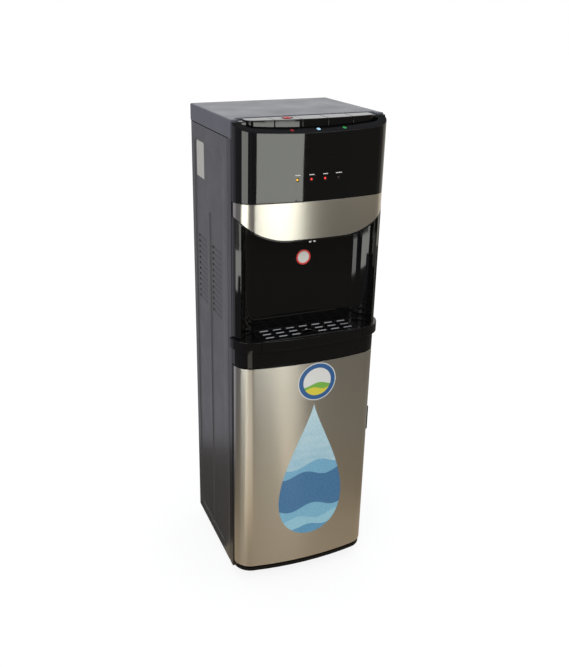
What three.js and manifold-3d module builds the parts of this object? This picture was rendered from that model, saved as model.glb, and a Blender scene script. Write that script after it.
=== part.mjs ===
// Bottom load water cooler, built as an assembly of separate pieces.
//
// Millimetres, +Z up, the front faces -Y. Inside the assembly, y = 0 is the front edge of the side
// panels and z = 0 is the floor. The assembly is then shifted along Y, so that the origin lies under
// the middle of the overall footprint.

import * as THREE from 'three';
import { mergeGeometries, mergeVertices } from 'three/addons/utils/BufferGeometryUtils.js';
import Module from 'manifold-3d';

const wasm = await Module();
wasm.setup();

// ---------------------------------------------------------------- driving dimensions

// Cabinet
const width = 310;
const sideDepth = 237;
const footHeight = 20;
const sheet = 1.2; // painted steel sheet
const moulding = 3; // wall of the plastic mouldings
const fit = 0.4; // joint between fixed pieces that meet
const running = 0.5; // clearance of pieces that slide or turn

// Front curve, in plan
const flank = 21.5; // straight stretch from the side panels to the start of the corner
const bulge = 71.4; // reach of the curve in front of the side panels
const cornerRadius = 40;
const pillarReach = 18.5;
const pillarReturn = 14;
const pillarWall = 2;

// Heights of the storeys, from the floor up
const baseHeight = 16;
const doorGap = 2;
const doorHeight = 488;
const fasciaHeight = 38;
const collarHeight = 21;
const alcoveHeight = 201;
const bandHeight = 72;
const upperHeight = 148;
const coverHeight = 34;

// Control pocket and keys
const frontDrop = 22; // fall of the top of the upper panel towards the front
const dropStart = 10;
const rimWidth = 17;
const pocketDepth = 33;
const keyLine = 26; // front faces of the keys
const keyBack = 1;
const keyWidth = 51.5;
const keySpacing = 52.2;
const keyBelowTop = 3;
const keySkirt = 4; // what a key reaches below the pocket floor
const keyTravel = 4;
const keyEdge = 2.5;
const sliderSize = [13, 12, 4];
const sliderOffset = 2;
const sliderTravel = 5;
const sliderProud = 1.2;

// Indicator lights
const lightSpacing = 27.6;
const lightMiddle = -1.9;
const lightHeight = 41.8; // above the band
const lightRadius = 2;

// Band and alcove
const bandSheet = 1.2;
const smileFlat = 55; // half of the level stretch of the band's lower edge
const smileRadius = 133;
const hoodLip = 4; // what the hood shows below the band
const hoodWall = 4;
const alcoveBack = 10;
const alcoveHalf = 144;
const alcoveFillet = 40;
const ceilingAbove = 24; // ceiling of the alcove above the band's level edge
const nozzleY = 47;
const nozzleRadius = 11;
const nozzleDrop = 22;
const outletRadius = 2.8;

// Drip tray
const collarProud = 6.6;
const trayHalf = 110;
const trayFloor = 3;
const trayRim = 6;
const grilleHalf = 108.6;
const grilleCorner = 6;
const grilleFront = 67.6;
const grilleBack = 12.4;
const grilleThickness = 2.6;
const slotLength = 23;
const slotWidth = 8.5;
const slotPitch = 28.5;
const slotColumns = 7;
const rowPitch = 17;
const rowStart = 9.5; // first row of slots from the rear edge of the grille
const fingerHole = 12.5;

// Door
const skin = 1.2;
const doorThickness = 12;
const hingeX = 7.5; // hinge axis from the side of the cabinet
const hingeY = 31; // hinge axis in front of the side panels
const pinRadius = 2.5;
const pinDepth = 12; // bore in the door
const pinSeat = 6; // pin in its boss
const bossRadius = 6.4;
const pullHeight = 56;
const pullBelowTop = 180; // middle of the finger pull below the top of the door
const pullProud = 6.2;
const magnetSize = [8, 5, 60];

// Side panels
const recessDepth = 3;
const recessFront = 30;
const recessRear = 12;
const recessTop = 50; // below the upper edge of the panel
const recessBottom = 14; // above the lower edge of the panel
const recessRadius = 25;
const recessWall = 2; // slope of the recess wall, in plan
const ribCentre = 128;
const ribWidth = 18;
const ribHeight = 2;
const ribBelowTop = 168.6; // top of the rib below the upper edge of the panel
const louvreColumns = [79.8, 174];
const louvreLength = 59;
const louvreRows = 12;
const louvrePitch = 12.5;
const louvreBelowTop = 235.1; // first louvre below the upper edge of the panel
const louvreRise = 8;
const louvreDepth = 3.6;
const louvreEdge = 0.3;

// Works
const shelfAbove = 5; // mid shelf above the drip tray collar
const compressorRadius = 58;
const compressorHeight = 140;
const hotRadius = 46;
const hotStand = 16; // hot tank above the mid shelf
const hotNeck = 12;
const hotBelowShelf = 4; // neck of the hot tank below the tank shelf
const coldRadius = 68;
const coldHeight = 165;
const tankShelfAbove = 172; // tank shelf above the mid shelf
const foamWall = 18;
const foamBase = 8;
const coilRadius = 3.2;
const coilTurns = 5;
const coilPitch = 22;
const pipeRadius = 3;

// Condenser on the rear
const condenserStand = 20; // rear panel to the tube axis
const tubeRadius = 2.5;
const runHalf = 116;
const runPitch = 56;
const runCount = 10;
const condenserBelowShelf = 202; // lowest run below the mid shelf
const wireCount = 7;
const wireSize = 1.6;
const wireMargin = 6;

// Probe for the bottle
const probeX = 119;
const probeY = 18;
const probeCapRadius = 25;
const probeCapHeight = 34;
const probeBelowShelf = 122; // underside of the parked cap below the mid shelf
const probeTube = 6;
const probeLength = 400;
const hoseRadius = 4;
const probeTravel = 35;

// ---------------------------------------------------------------- derived levels and places

const half = width / 2;
const baseTop = footHeight + baseHeight;
const doorBottom = baseTop + doorGap;
const doorTop = doorBottom + doorHeight;
const fasciaBottom = doorTop + doorGap;
const collarBottom = fasciaBottom + fasciaHeight;
const collarTop = collarBottom + collarHeight;
const smileLevel = collarTop + alcoveHeight;
const bandTop = smileLevel + bandHeight;
const topLevel = bandTop + upperHeight;
const coverBottom = topLevel - coverHeight;
const pocketFloor = topLevel - pocketDepth;
const keyTop = topLevel - keyBelowTop;
const keyBottom = pocketFloor - keySkirt;
const ceiling = smileLevel + ceilingAbove;
const backHalf = half - pillarReturn - fit; // half width of what reaches between the pillars
const alcoveRear = alcoveBack - moulding; // rear face of the alcove wall
const shelfTop = collarTop + shelfAbove;
const tankShelfTop = shelfTop + tankShelfAbove;
const hotHeight = tankShelfAbove - hotStand - hotNeck - hotBelowShelf;
const probeLevel = shelfTop - probeBelowShelf;
const condenserBottom = shelfTop - condenserBelowShelf;
const pullCentre = doorTop - pullBelowTop;
const innerHalf = half - recessDepth - sheet - fit; // free half width between the side panels
const rearFace = sideDepth + fit; // front face of the rear panel
const rearSkin = rearFace + sheet;
const condenserY = rearSkin + condenserStand;

const segments = { corner: 7, front: 8, round: 14, small: 10, pipe: 6 };

// ---------------------------------------------------------------- finishes

const finishes = {
  greyPaint: { color: 0x55565a, roughness: 0.45, metalness: 0.1 },
  blackGloss: { color: 0x0c0c0d, roughness: 0.12, metalness: 0 },
  blackPlastic: { color: 0x17171a, roughness: 0.5, metalness: 0 },
  brushedSteel: { color: 0xb9b2a8, roughness: 0.32, metalness: 1 },
  bareSteel: { color: 0x9a9da0, roughness: 0.4, metalness: 1 },
  blackPaint: { color: 0x161617, roughness: 0.4, metalness: 0.3 },
  copper: { color: 0xb4683c, roughness: 0.35, metalness: 1 },
  foam: { color: 0xf0efea, roughness: 0.9, metalness: 0 },
  board: { color: 0x1f5a36, roughness: 0.6, metalness: 0 },
  whitePlastic: { color: 0xe4e4e0, roughness: 0.45, metalness: 0 },
  redPlastic: { color: 0xc4202a, roughness: 0.35, metalness: 0 },
  amberLens: { color: 0xe0a020, roughness: 0.2, metalness: 0 },
  rubber: { color: 0x1a1a1a, roughness: 0.8, metalness: 0 },
  clearHose: { color: 0xd8dcdc, roughness: 0.35, metalness: 0 },
};

// ---------------------------------------------------------------- solids

// Turns a closed three.js geometry into a solid with its faces pointing out.
function toSolid(geometry) {
  const bare = geometry.clone();
  bare.deleteAttribute('normal');
  bare.deleteAttribute('uv');
  const merged = mergeVertices(bare);
  const position = merged.getAttribute('position');
  const index = merged.getIndex().array;
  const triangles = [];
  for (let i = 0; i < index.length; i += 3) {
    const [a, b, c] = [index[i], index[i + 1], index[i + 2]];
    if (a !== b && b !== c && c !== a) triangles.push([a, b, c]);
  }
  const corner = (i) => new THREE.Vector3().fromBufferAttribute(position, i);
  const signed = (t) => corner(t[0]).dot(corner(t[1]).cross(corner(t[2])));
  const volume = triangles.reduce((sum, t) => sum + signed(t), 0);
  if (volume < 0) triangles.forEach((t) => t.reverse());
  return new wasm.Manifold(new wasm.Mesh({
    numProp: 3,
    vertProperties: new Float32Array(position.array),
    triVerts: new Uint32Array(triangles.flat()),
  }));
}

function toGeometry(solid) {
  const mesh = solid.getMesh();
  const geometry = new THREE.BufferGeometry();
  geometry.setAttribute('position', new THREE.BufferAttribute(new Float32Array(mesh.vertProperties), 3));
  geometry.setIndex(new THREE.BufferAttribute(new Uint32Array(mesh.triVerts), 1));
  geometry.computeVertexNormals();
  return geometry;
}

function block(x0, x1, y0, y1, z0, z1) {
  const box = new THREE.BoxGeometry(x1 - x0, y1 - y0, z1 - z0);
  return toSolid(box.translate((x0 + x1) / 2, (y0 + y1) / 2, (z0 + z1) / 2));
}

function extrusion(points, depth) {
  return new THREE.ExtrudeGeometry(new THREE.Shape(points), { depth, bevelEnabled: false });
}

const axis = {
  x: new THREE.Vector3(1, 0, 0),
  y: new THREE.Vector3(0, 1, 0),
  z: new THREE.Vector3(0, 0, 1),
};

// A plan outline raised from z0 to z1.
function upright(points, z0, z1) {
  return toSolid(extrusion(points, z1 - z0).translate(0, 0, z0));
}

// An outline in X and Z, drawn out from y0 to y1.
function frontalGeometry(points, y0, y1) {
  const turn = new THREE.Matrix4().makeBasis(axis.x, axis.z, axis.y.clone().negate());
  return extrusion(points, y1 - y0).applyMatrix4(turn).translate(0, y1, 0);
}

const frontal = (points, y0, y1) => toSolid(frontalGeometry(points, y0, y1));

// An outline in Y and Z, drawn out from x0 to x1.
function sidewaysGeometry(points, x0, x1) {
  const turn = new THREE.Matrix4().makeBasis(axis.y, axis.z, axis.x);
  return extrusion(points, x1 - x0).applyMatrix4(turn).translate(x0, 0, 0);
}

const sideways = (points, x0, x1) => toSolid(sidewaysGeometry(points, x0, x1));

// A round bar between two points.
function bar(start, end, radius, sides = segments.small) {
  const from = new THREE.Vector3(...start);
  const along = new THREE.Vector3(...end).sub(from);
  const cylinder = new THREE.CylinderGeometry(radius, radius, along.length(), sides);
  const turn = new THREE.Quaternion().setFromUnitVectors(axis.y, along.clone().normalize());
  cylinder.applyQuaternion(turn);
  const middle = from.addScaledVector(along, 0.5);
  return toSolid(cylinder.translate(middle.x, middle.y, middle.z));
}

// A profile of [radius, height] pairs turned about a vertical axis through x, y, z.
function turned(profile, [x, y, z], sides = segments.round) {
  const points = profile.map(([r, h]) => new THREE.Vector2(r, h));
  const lathe = new THREE.LatheGeometry(points, sides).rotateX(Math.PI / 2);
  return toSolid(lathe.translate(x, y, z));
}

// A path that passes through chosen stations, one for each step of a sweep.
class StationPath extends THREE.Curve {
  constructor(stations) {
    super();
    this.stations = stations;
  }

  getPoint(t, target = new THREE.Vector3()) {
    const last = this.stations.length - 1;
    return target.copy(this.stations[Math.round(t * last)]);
  }

  getPointAt(u, target) {
    return this.getPoint(u, target);
  }

  getTangentAt(u, target = new THREE.Vector3()) {
    const last = this.stations.length - 1;
    const i = Math.round(u * last);
    const before = this.stations[Math.max(i - 1, 0)];
    const here = this.stations[i];
    const after = this.stations[Math.min(i + 1, last)];
    const arriving = here.clone().sub(before).normalize();
    const leaving = after.clone().sub(here).normalize();
    return target.copy(arriving.add(leaving).normalize());
  }
}

function tube(stations, radius, sides) {
  const section = Array.from({ length: sides }, (_, i) => {
    const angle = (2 * Math.PI * i) / sides;
    return new THREE.Vector2(radius * Math.cos(angle), radius * Math.sin(angle));
  });
  const geometry = new THREE.ExtrudeGeometry(new THREE.Shape(section), {
    steps: stations.length - 1,
    extrudePath: new StationPath(stations),
    bevelEnabled: false,
  });
  return toSolid(geometry);
}

// Stations of a pipe run through corner points, each corner rounded with the bend radius.
function pipeRun(corners, bend, steps = 4) {
  const points = corners.map((c) => new THREE.Vector3(...c));
  const stations = [points[0]];
  for (let i = 1; i < points.length - 1; i += 1) {
    const inward = points[i - 1].clone().sub(points[i]).normalize();
    const outward = points[i + 1].clone().sub(points[i]).normalize();
    const opening = inward.angleTo(outward);
    const setback = bend / Math.tan(opening / 2);
    const centre = inward.clone().add(outward).normalize()
      .multiplyScalar(bend / Math.sin(opening / 2)).add(points[i]);
    const first = points[i].clone().addScaledVector(inward, setback).sub(centre);
    const last = points[i].clone().addScaledVector(outward, setback).sub(centre);
    const sweep = first.angleTo(last);
    const spin = first.clone().cross(last).normalize();
    for (let k = 0; k <= steps; k += 1) {
      stations.push(first.clone().applyAxisAngle(spin, (sweep * k) / steps).add(centre));
    }
  }
  stations.push(points.at(-1));
  return stations;
}

const vec = (x, y) => new THREE.Vector2(x, y);

function arc(cx, cy, radius, from, to, steps) {
  return Array.from({ length: steps + 1 }, (_, i) => {
    const angle = from + ((to - from) * i) / steps;
    return vec(cx + radius * Math.cos(angle), cy + radius * Math.sin(angle));
  });
}

function roundedRectangle(x0, x1, y0, y1, radius, steps = 5) {
  const quarter = Math.PI / 2;
  return [
    ...arc(x0 + radius, y0 + radius, radius, 2 * quarter, 3 * quarter, steps),
    ...arc(x1 - radius, y0 + radius, radius, 3 * quarter, 4 * quarter, steps),
    ...arc(x1 - radius, y1 - radius, radius, 0, quarter, steps),
    ...arc(x0 + radius, y1 - radius, radius, quarter, 2 * quarter, steps),
  ];
}

// ---------------------------------------------------------------- the front curve

const reach = bulge - flank;
const cornerX = half - cornerRadius;
const frontRadius = (cornerX ** 2 + reach ** 2 - cornerRadius ** 2) / (2 * (reach - cornerRadius));
const frontCentre = frontRadius - bulge;
const frontTurn = Math.atan2(cornerX, frontCentre + flank);

// Plan points of the front from the left flank round to the right, moved inward by inset.
function frontCurve(inset) {
  const down = 1.5 * Math.PI;
  const corner = cornerRadius - inset;
  return [
    ...arc(-cornerX, -flank, corner, Math.PI, down - frontTurn, segments.corner),
    ...arc(0, frontCentre, frontRadius - inset, down - frontTurn, down + frontTurn, segments.front).slice(1, -1),
    ...arc(cornerX, -flank, corner, down + frontTurn, 2 * Math.PI, segments.corner),
  ];
}

// The room between the front curve and a line across the cabinet at y = back.
function frontRegion(inset, back = -flank) {
  const side = half - inset;
  const rear = back > -flank ? [vec(side, back), vec(-side, back)] : [];
  return [...frontCurve(inset), ...rear];
}

// A curved wall that follows the front.
function frontWall(outerInset, innerInset, z0, z1) {
  return upright([...frontCurve(outerInset), ...frontCurve(innerInset).reverse()], z0, z1);
}

function frontY(x, inset) {
  return frontCentre - Math.sqrt((frontRadius - inset) ** 2 - x ** 2);
}

// The room below the smile-shaped lower edge of the band, lowered by drop.
function belowSmile(drop) {
  const floor = collarBottom;
  const sideHalf = half + collarProud;
  const sweep = Math.asin((sideHalf - smileFlat) / smileRadius);
  const down = 1.5 * Math.PI;
  const level = smileLevel + smileRadius - drop;
  return frontal([
    vec(-sideHalf, floor),
    vec(sideHalf, floor),
    ...arc(smileFlat, level, smileRadius, down + sweep, down, segments.front),
    ...arc(-smileFlat, level, smileRadius, down, down - sweep, segments.front),
  ], -bulge - collarProud, fit);
}

// ---------------------------------------------------------------- cabinet

function basePan() {
  const inset = sheet + fit;
  const rear = sideDepth - inset;
  const skirtBottom = footHeight + baseHeight / 2;
  const room = (extra, z0, z1) => upright(frontCurve(inset + extra), z0, z1)
    .add(block(-backHalf + extra, backHalf - extra, -flank - 2 * extra - 1, 2 * inset + extra, z0, z1))
    .add(block(-innerHalf + extra, innerHalf - extra, inset + extra, rear - extra, z0, z1));
  let pan = room(0, skirtBottom, baseTop);
  pan = pan.subtract(room(moulding, skirtBottom - 1, baseTop - moulding));
  for (const [x, y] of Object.values(footPlaces)) {
    pan = pan.add(bar([x, y, skirtBottom], [x, y, baseTop - moulding / 2], bossOuter));
    pan = pan.subtract(bar([x, y, skirtBottom - 1], [x, y, baseTop - moulding], studRadius + running));
  }
  const hinge = [-half + hingeX, -hingeY];
  pan = pan.add(bar([...hinge, skirtBottom], [...hinge, baseTop - moulding / 2], bossRadius)
    .intersect(upright(frontCurve(inset), skirtBottom, baseTop)));
  return pan.subtract(bar([...hinge, baseTop - pinSeat - fit], [...hinge, baseTop + 1], pinRadius + fit));
}

const footInset = 35;
const footX = half - footInset;
const footFront = 0;
const footRear = sideDepth - footInset;
const footPlaces = {
  foot_front_left: [-footX, footFront],
  foot_front_right: [footX, footFront],
  foot_rear_left: [-footX, footRear],
  foot_rear_right: [footX, footRear],
};
const footRadius = 16;
const footDisc = 8;
const studRadius = 4;
const bossOuter = 9;

function foot() {
  const stud = baseTop - moulding - running;
  return [
    [0, 0], [footRadius, 0], [footRadius, footDisc * 0.6], [footRadius * 0.7, footDisc],
    [studRadius, footDisc], [studRadius, stud], [0, stud],
  ];
}

// Left side panel: a sheet with front and rear lips, a pressed recess, a rib and louvres.
function sidePanel() {
  const top = coverBottom - fit;
  const outer = -half;
  const plate = outer + sheet;
  const floorOuter = outer + recessDepth;
  const floorInner = floorOuter + sheet;
  const ribTop = top - ribBelowTop;
  const louvreTop = top - louvreBelowTop;
  const recess = (grow) => roundedRectangle(
    recessFront - grow, sideDepth - recessRear + grow,
    footHeight + recessBottom - grow, top - recessTop + grow, recessRadius + grow, 4,
  );
  const channel = [
    vec(outer, 0), vec(floorInner, 0), vec(floorInner, sheet), vec(plate, sheet),
    vec(plate, sideDepth - sheet), vec(floorInner, sideDepth - sheet), vec(floorInner, sideDepth), vec(outer, sideDepth),
  ];
  let panel = upright(channel, footHeight, top);
  panel = panel.add(sideways(recess(sheet + recessWall), plate - sheet / 2, floorInner));
  panel = panel.subtract(sideways(recess(recessWall), outer - 1, outer + recessDepth / 2));
  panel = panel.subtract(sideways(recess(0), outer - 1, floorOuter));

  const ribBottom = footHeight + recessBottom + 1;
  const rib = (shrink, x0, x1) => sideways(roundedRectangle(
    ribCentre - ribWidth / 2 + shrink, ribCentre + ribWidth / 2 - shrink,
    ribBottom + shrink, ribTop - shrink, ribWidth / 2 - shrink - 0.5, 3,
  ), x0, x1);
  panel = panel.add(rib(0, floorOuter - ribHeight, floorInner - sheet / 2));
  panel = panel.subtract(rib(sheet, floorOuter - ribHeight + sheet, floorInner + 1));

  const flaps = [];
  const slots = [];
  for (const centre of louvreColumns) {
    for (let row = 0; row < louvreRows; row += 1) {
      const z = louvreTop - louvreRise / 2 - row * louvrePitch;
      const foot = z - louvreRise / 2;
      const crest = z + louvreRise / 2;
      flaps.push(louvre(centre, louvreLength, [
        vec(floorOuter + sheet / 2, foot), vec(floorInner + louvreDepth, foot), vec(floorOuter + sheet / 2, crest),
      ]));
      slots.push(louvre(centre, louvreLength - 2 * sheet, [
        vec(outer, foot - louvreEdge), vec(floorOuter + louvreDepth, foot - louvreEdge),
        vec(floorOuter, crest - sheet), vec(outer, crest - sheet),
      ]));
    }
  }
  return panel.add(toSolid(mergeGeometries(flaps))).subtract(toSolid(mergeGeometries(slots)));
}

// A louvre leans inward towards its foot, where it is open. This is its flap or the hollow in front of it.
function louvre(centre, length, profile) {
  return frontalGeometry(profile, centre - length / 2, centre + length / 2);
}

function pillar(side) {
  const outline = [
    vec(side * half, -fit),
    vec(side * half, -pillarReach),
    vec(side * (half - pillarReturn), -pillarReach),
    vec(side * (half - pillarReturn), -pillarReach + pillarWall),
    vec(side * (half - pillarWall), -pillarReach + pillarWall),
    vec(side * (half - pillarWall), -fit),
  ];
  return upright(outline, footHeight, coverBottom - fit);
}

const coverEdge = 4;

function topCover() {
  const rear = rearSkin + fit;
  const lid = (inset, z1) => {
    const x = half - inset;
    const arm = half - armWidth + inset;
    return upright([
      vec(-x, rear - inset), vec(-x, -pillarReach + inset), vec(-arm, -pillarReach + inset),
      vec(-arm, inset), vec(arm, inset), vec(arm, -pillarReach + inset),
      vec(x, -pillarReach + inset), vec(x, rear - inset),
    ], coverBottom, z1);
  };
  const bevel = [0, 0.3, 0.7, 1].map((t) => {
    const angle = (t * Math.PI) / 2;
    return [coverEdge * (1 - Math.cos(angle)), coverEdge * (1 - Math.sin(angle))];
  });
  let cover = lid(0, topLevel - coverEdge);
  for (const [inset, drop] of bevel.slice(1)) cover = cover.add(lid(inset, topLevel - drop));
  const hollow = block(
    -half + moulding, half - moulding, moulding, rear - moulding, coverBottom - 1, topLevel - moulding,
  );
  return cover.subtract(hollow);
}

const armWidth = 15;
const ventColumns = [-72, 0, 72];
const ventLevel = doorBottom + 202;
const ventLength = 44;
const ventWidth = 5;
const ventPitch = 12;
const ventRows = 4;

function rearPanel() {
  let panel = block(-half + sheet, half - sheet, rearFace, rearSkin, footHeight + 4, coverBottom - fit);
  const vents = [];
  for (const x of ventColumns) {
    for (let row = 0; row < ventRows; row += 1) {
      const z = ventLevel + row * ventPitch;
      const outline = roundedRectangle(
        x - ventLength / 2, x + ventLength / 2, z - ventWidth / 2, z + ventWidth / 2, ventWidth / 2 - 0.2, 1,
      );
      vents.push(frontalGeometry(outline, rearFace - sheet, rearSkin + sheet));
    }
  }
  panel = panel.subtract(toSolid(mergeGeometries(vents)));
  for (const x of switchX) {
    const z = switchLevel;
    panel = panel.add(block(x - bezelX, x + bezelX, rearSkin - sheet / 2, rearSkin + bezelProud, z - bezelZ, z + bezelZ));
    panel = panel.subtract(block(
      x - rockerHalf - running, x + rockerHalf + running, rearFace - 1, rearSkin + bezelProud + 1,
      z - rockerRadius - running, z + rockerRadius + running,
    ));
  }
  const bore = (x, z, radius) => {
    panel = panel.subtract(bar([x, rearFace - 1, z], [x, rearSkin + 1, z], radius));
  };
  bore(glandX, glandLevel, glandNeck + fit);
  bore(drainX, drainLevel, drainPipe + fit);
  bore(inletX, inletLevel, pipeRadius + 1);
  return panel;
}

// ---------------------------------------------------------------- rear fittings

const switchX = [-62, -34];
const switchLevel = coverBottom - 16;
const bezelX = 11;
const bezelZ = 15;
const bezelProud = 2;
const rockerHalf = 7;
const rockerRadius = 11;
const rockerTilt = (10 * Math.PI) / 180;
const glandX = -9;
const glandLevel = shelfTop + 24;
const glandNeck = 8;
const glandBore = 4;
const glandFlange = 12;
const wirePitch = (2 * (runHalf - wireMargin)) / (wireCount - 1);
const drainX = -1.5 * wirePitch; // between two wires of the condenser
const drainPipe = 6;
const drainLevel = condenserBottom + 4.5 * runPitch; // and between two of its runs
const drainReach = 14; // drain pipe beyond the rear panel
const plugRadius = 11;
const plugLength = 14;
const inletX = 128;
const inletLevel = condenserBottom + (runCount - 1) * runPitch;

// A rocker that turns about X on the plane of the rear panel, tipped to its off side.
function rocker(x) {
  const outer = arc(0, 0, rockerRadius, -0.5 * Math.PI + 0.25, 0.5 * Math.PI - 0.25, 6);
  const notch = vec(rockerRadius * 0.42, 0);
  const face = [
    vec(0, -rockerRadius + 0.6), outer[1], notch, outer.at(-2), vec(0, rockerRadius - 0.6), vec(-4, 0),
  ];
  const turnedFace = face.map((p) => p.clone().rotateAround(vec(0, 0), rockerTilt));
  const placed = turnedFace.map((p) => vec(p.x + rearSkin, p.y + switchLevel));
  return sideways(placed, x - rockerHalf, x + rockerHalf);
}

// A grommet with its bore along Y.
function gland() {
  const ring = (radius, y0, y1) => bar([glandX, y0, glandLevel], [glandX, y1, glandLevel], radius);
  return ring(glandNeck, rearFace - 6, rearSkin + fit)
    .add(ring(glandFlange, rearSkin + fit, rearSkin + 4))
    .add(ring(glandNeck, rearSkin + 3, rearSkin + 12))
    .subtract(ring(glandBore, rearFace - 10, rearSkin + 20));
}

function drainLine() {
  const from = hotY + hotRadius + bandThickness + fit;
  const pipe = bar([drainX, from, drainLevel], [drainX, rearSkin + drainReach, drainLevel], drainPipe);
  const nut = bar([drainX, rearSkin + fit, drainLevel], [drainX, rearSkin + 4, drainLevel], drainPipe + 4, 6);
  const bore = bar([drainX, from - 1, drainLevel], [drainX, rearSkin + drainReach + 1, drainLevel], drainPipe - 2);
  return pipe.add(nut).subtract(bore);
}

function drainPlug() {
  const start = rearSkin + 4 + fit;
  const end = rearSkin + drainReach + fit + moulding;
  const cap = bar([drainX, start, drainLevel], [drainX, end, drainLevel], plugRadius, 10);
  const bore = bar([drainX, start - 1, drainLevel], [drainX, end - moulding, drainLevel], drainPipe + running);
  return cap.subtract(bore);
}

const runBend = runPitch / 2 - 0.01;
const tailEnd = condenserBottom - runBend - 4; // lower end of the tube, where the drier starts
const drierRadius = 9;
const drierLength = 90;

// Serpentine tube with upright wires across it, and feet that stand on the rear panel.
function condenser() {
  const corners = [[inletX, rearSkin + fit, inletLevel], [inletX, condenserY, inletLevel]];
  for (let run = runCount - 1; run >= 0; run -= 1) {
    const z = condenserBottom + run * runPitch;
    const fromRight = (runCount - 1 - run) % 2 === 0;
    const ends = [runHalf + runBend, -runHalf - runBend];
    const [start, end] = fromRight ? ends : [...ends].reverse();
    if (run < runCount - 1) corners.push([start, condenserY, z]);
    if (run > 0) corners.push([end, condenserY, z]);
  }
  const tail = runCount % 2 ? -runHalf : runHalf;
  corners.push([tail, condenserY, condenserBottom], [tail, condenserY, tailEnd]);
  const firstBend = Math.min(condenserStand / 2, 8);
  const stations = [
    ...pipeRun(corners.slice(0, 3), firstBend).slice(0, -1),
    ...pipeRun([[0, condenserY, inletLevel], ...corners.slice(2)], runBend, 3),
  ];
  let grid = tube(stations, tubeRadius, 6);
  const top = inletLevel + tubeRadius;
  const wires = [];
  for (let i = 0; i < wireCount; i += 1) {
    const x = (i - (wireCount - 1) / 2) * wirePitch;
    const wire = new THREE.BoxGeometry(wireSize, wireSize, top - condenserBottom + 20);
    wires.push(wire.translate(x, condenserY + tubeRadius + wireSize * 0.1, (top + condenserBottom) / 2));
  }
  grid = grid.add(toSolid(mergeGeometries(wires)));
  for (const x of [-runHalf + 20, runHalf - 20]) {
    for (const z of [condenserBottom, inletLevel]) {
      grid = grid.add(block(x - 7, x + 7, rearSkin + fit, condenserY, z - 1, z + 1));
      grid = grid.add(block(x - 7, x + 7, rearSkin + fit, rearSkin + fit + 1.5, z - 1, z + 16));
    }
  }
  return grid;
}


// Filter drier at the lower end of the condenser's tube, held on the rear panel by a clamp.
function filterDrier() {
  const x = (runCount % 2 ? -1 : 1) * runHalf;
  const end = tailEnd - fit;
  const body = turned([
    [0, 0], [tubeRadius, 0], [tubeRadius, 8], [drierRadius, 18], [drierRadius, drierLength - 18],
    [tubeRadius, drierLength - 8], [tubeRadius, drierLength], [0, drierLength],
  ], [x, condenserY, end - drierLength], segments.small);
  const clamp = block(x - 5, x + 5, rearSkin + fit, condenserY, end - drierLength / 2 - 8, end - drierLength / 2 + 8);
  return body.add(clamp);
}

// ---------------------------------------------------------------- front mouldings

// Wedge of room under the sloped top of the upper panel, lowered by drop.
function underSlope(drop) {
  const slope = frontDrop / (bulge - dropStart);
  const level = (y) => topLevel - drop + (y + dropStart) * slope;
  const ahead = -bulge - 2 * collarProud;
  return sideways([
    vec(ahead, bandTop - 1), vec(fit, bandTop - 1), vec(fit, keyTop),
    vec(-keyLine, keyTop), vec(-keyLine, level(-keyLine)), vec(ahead, level(ahead)),
  ], -half - 1, half + 1);
}

function upperPanel() {
  const z0 = bandTop + fit;
  const back = -fit - 0.2;
  const armInner = half - armWidth - fit;
  const outline = (inset) => [
    ...frontCurve(inset), vec(armInner - inset, -flank + inset), vec(armInner - inset, back),
    vec(-armInner + inset, back), vec(-armInner + inset, -flank + inset),
  ];
  const pocket = (grow) => {
    const floor = pocketFloor - grow;
    const room = block(-half, half, -bulge, -keyLine + grow, floor, topLevel + 1);
    return upright(frontCurve(rimWidth - grow), floor, topLevel + 1).intersect(room);
  };
  let panel = upright(outline(0), z0, topLevel).intersect(underSlope(0));
  const deck = pocketFloor - moulding;
  let inside = upright([...frontCurve(moulding), vec(armInner - moulding, -flank), vec(armInner - moulding, 1),
    vec(-armInner + moulding, 1), vec(-armInner + moulding, -flank)], z0 - 1, topLevel);
  inside = inside.intersect(underSlope(moulding));
  inside = inside.subtract(pocket(moulding));
  inside = inside.subtract(block(-half, half, -keyLine - moulding, fit, deck, topLevel));
  panel = panel.subtract(inside).subtract(pocket(0));
  const span = keySpacing + keyWidth / 2 + running;
  panel = panel.subtract(block(-span, span, -keyLine - running, fit, bandTop, topLevel + 1));
  for (const x of [-1, 1]) {
    const post = x * (span + 6);
    panel = panel.add(bar([post, -keyLine + 8, boardTop + fit], [post, -keyLine + 8, deck + 1], 3, 8));
  }
  for (const x of lightPlaces) {
    panel = panel.subtract(bar([x, -bulge - 1, lightLevel], [x, -bulge + 12, lightLevel], lightRadius + fit));
  }
  return panel;
}

const switchRise = 6;
const boardThickness = 1.6;
const boardTop = keyBottom - keyTravel - running - switchRise;
const lightLevel = bandTop + lightHeight;
const lightPlaces = [-1.5, -0.5, 0.5, 1.5].map((i) => lightMiddle + i * lightSpacing);
const lightBoardFront = -bulge + 9;

function key(index) {
  const x = index * keySpacing;
  const e = keyEdge;
  const profile = [
    vec(-keyLine, keyBottom), vec(-keyBack, keyBottom), vec(-keyBack, keyTop),
    ...arc(-keyLine + e, keyTop - e, e, 0.5 * Math.PI, Math.PI, 3),
  ];
  const cap = sideways(profile, x - keyWidth / 2, x + keyWidth / 2);
  const cavity = block(
    x - keyWidth / 2 + moulding, x + keyWidth / 2 - moulding, -keyLine + moulding, -keyBack - moulding,
    keyBottom - 1, keyTop - 2 * moulding,
  );
  return cap.subtract(cavity);
}

// The hot key carries the slot of the child-lock slider.
function hotKey() {
  const [w, d, h] = sliderSize;
  const x = -keySpacing + sliderOffset;
  const y = -keyLine / 2;
  const slot = block(
    x - w / 2 - running, x + w / 2 + sliderTravel + running, y - d / 2 - running, y + d / 2 + running,
    keyTop + sliderProud - h - fit, keyTop + 1,
  );
  return key(-1).subtract(slot);
}

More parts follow.
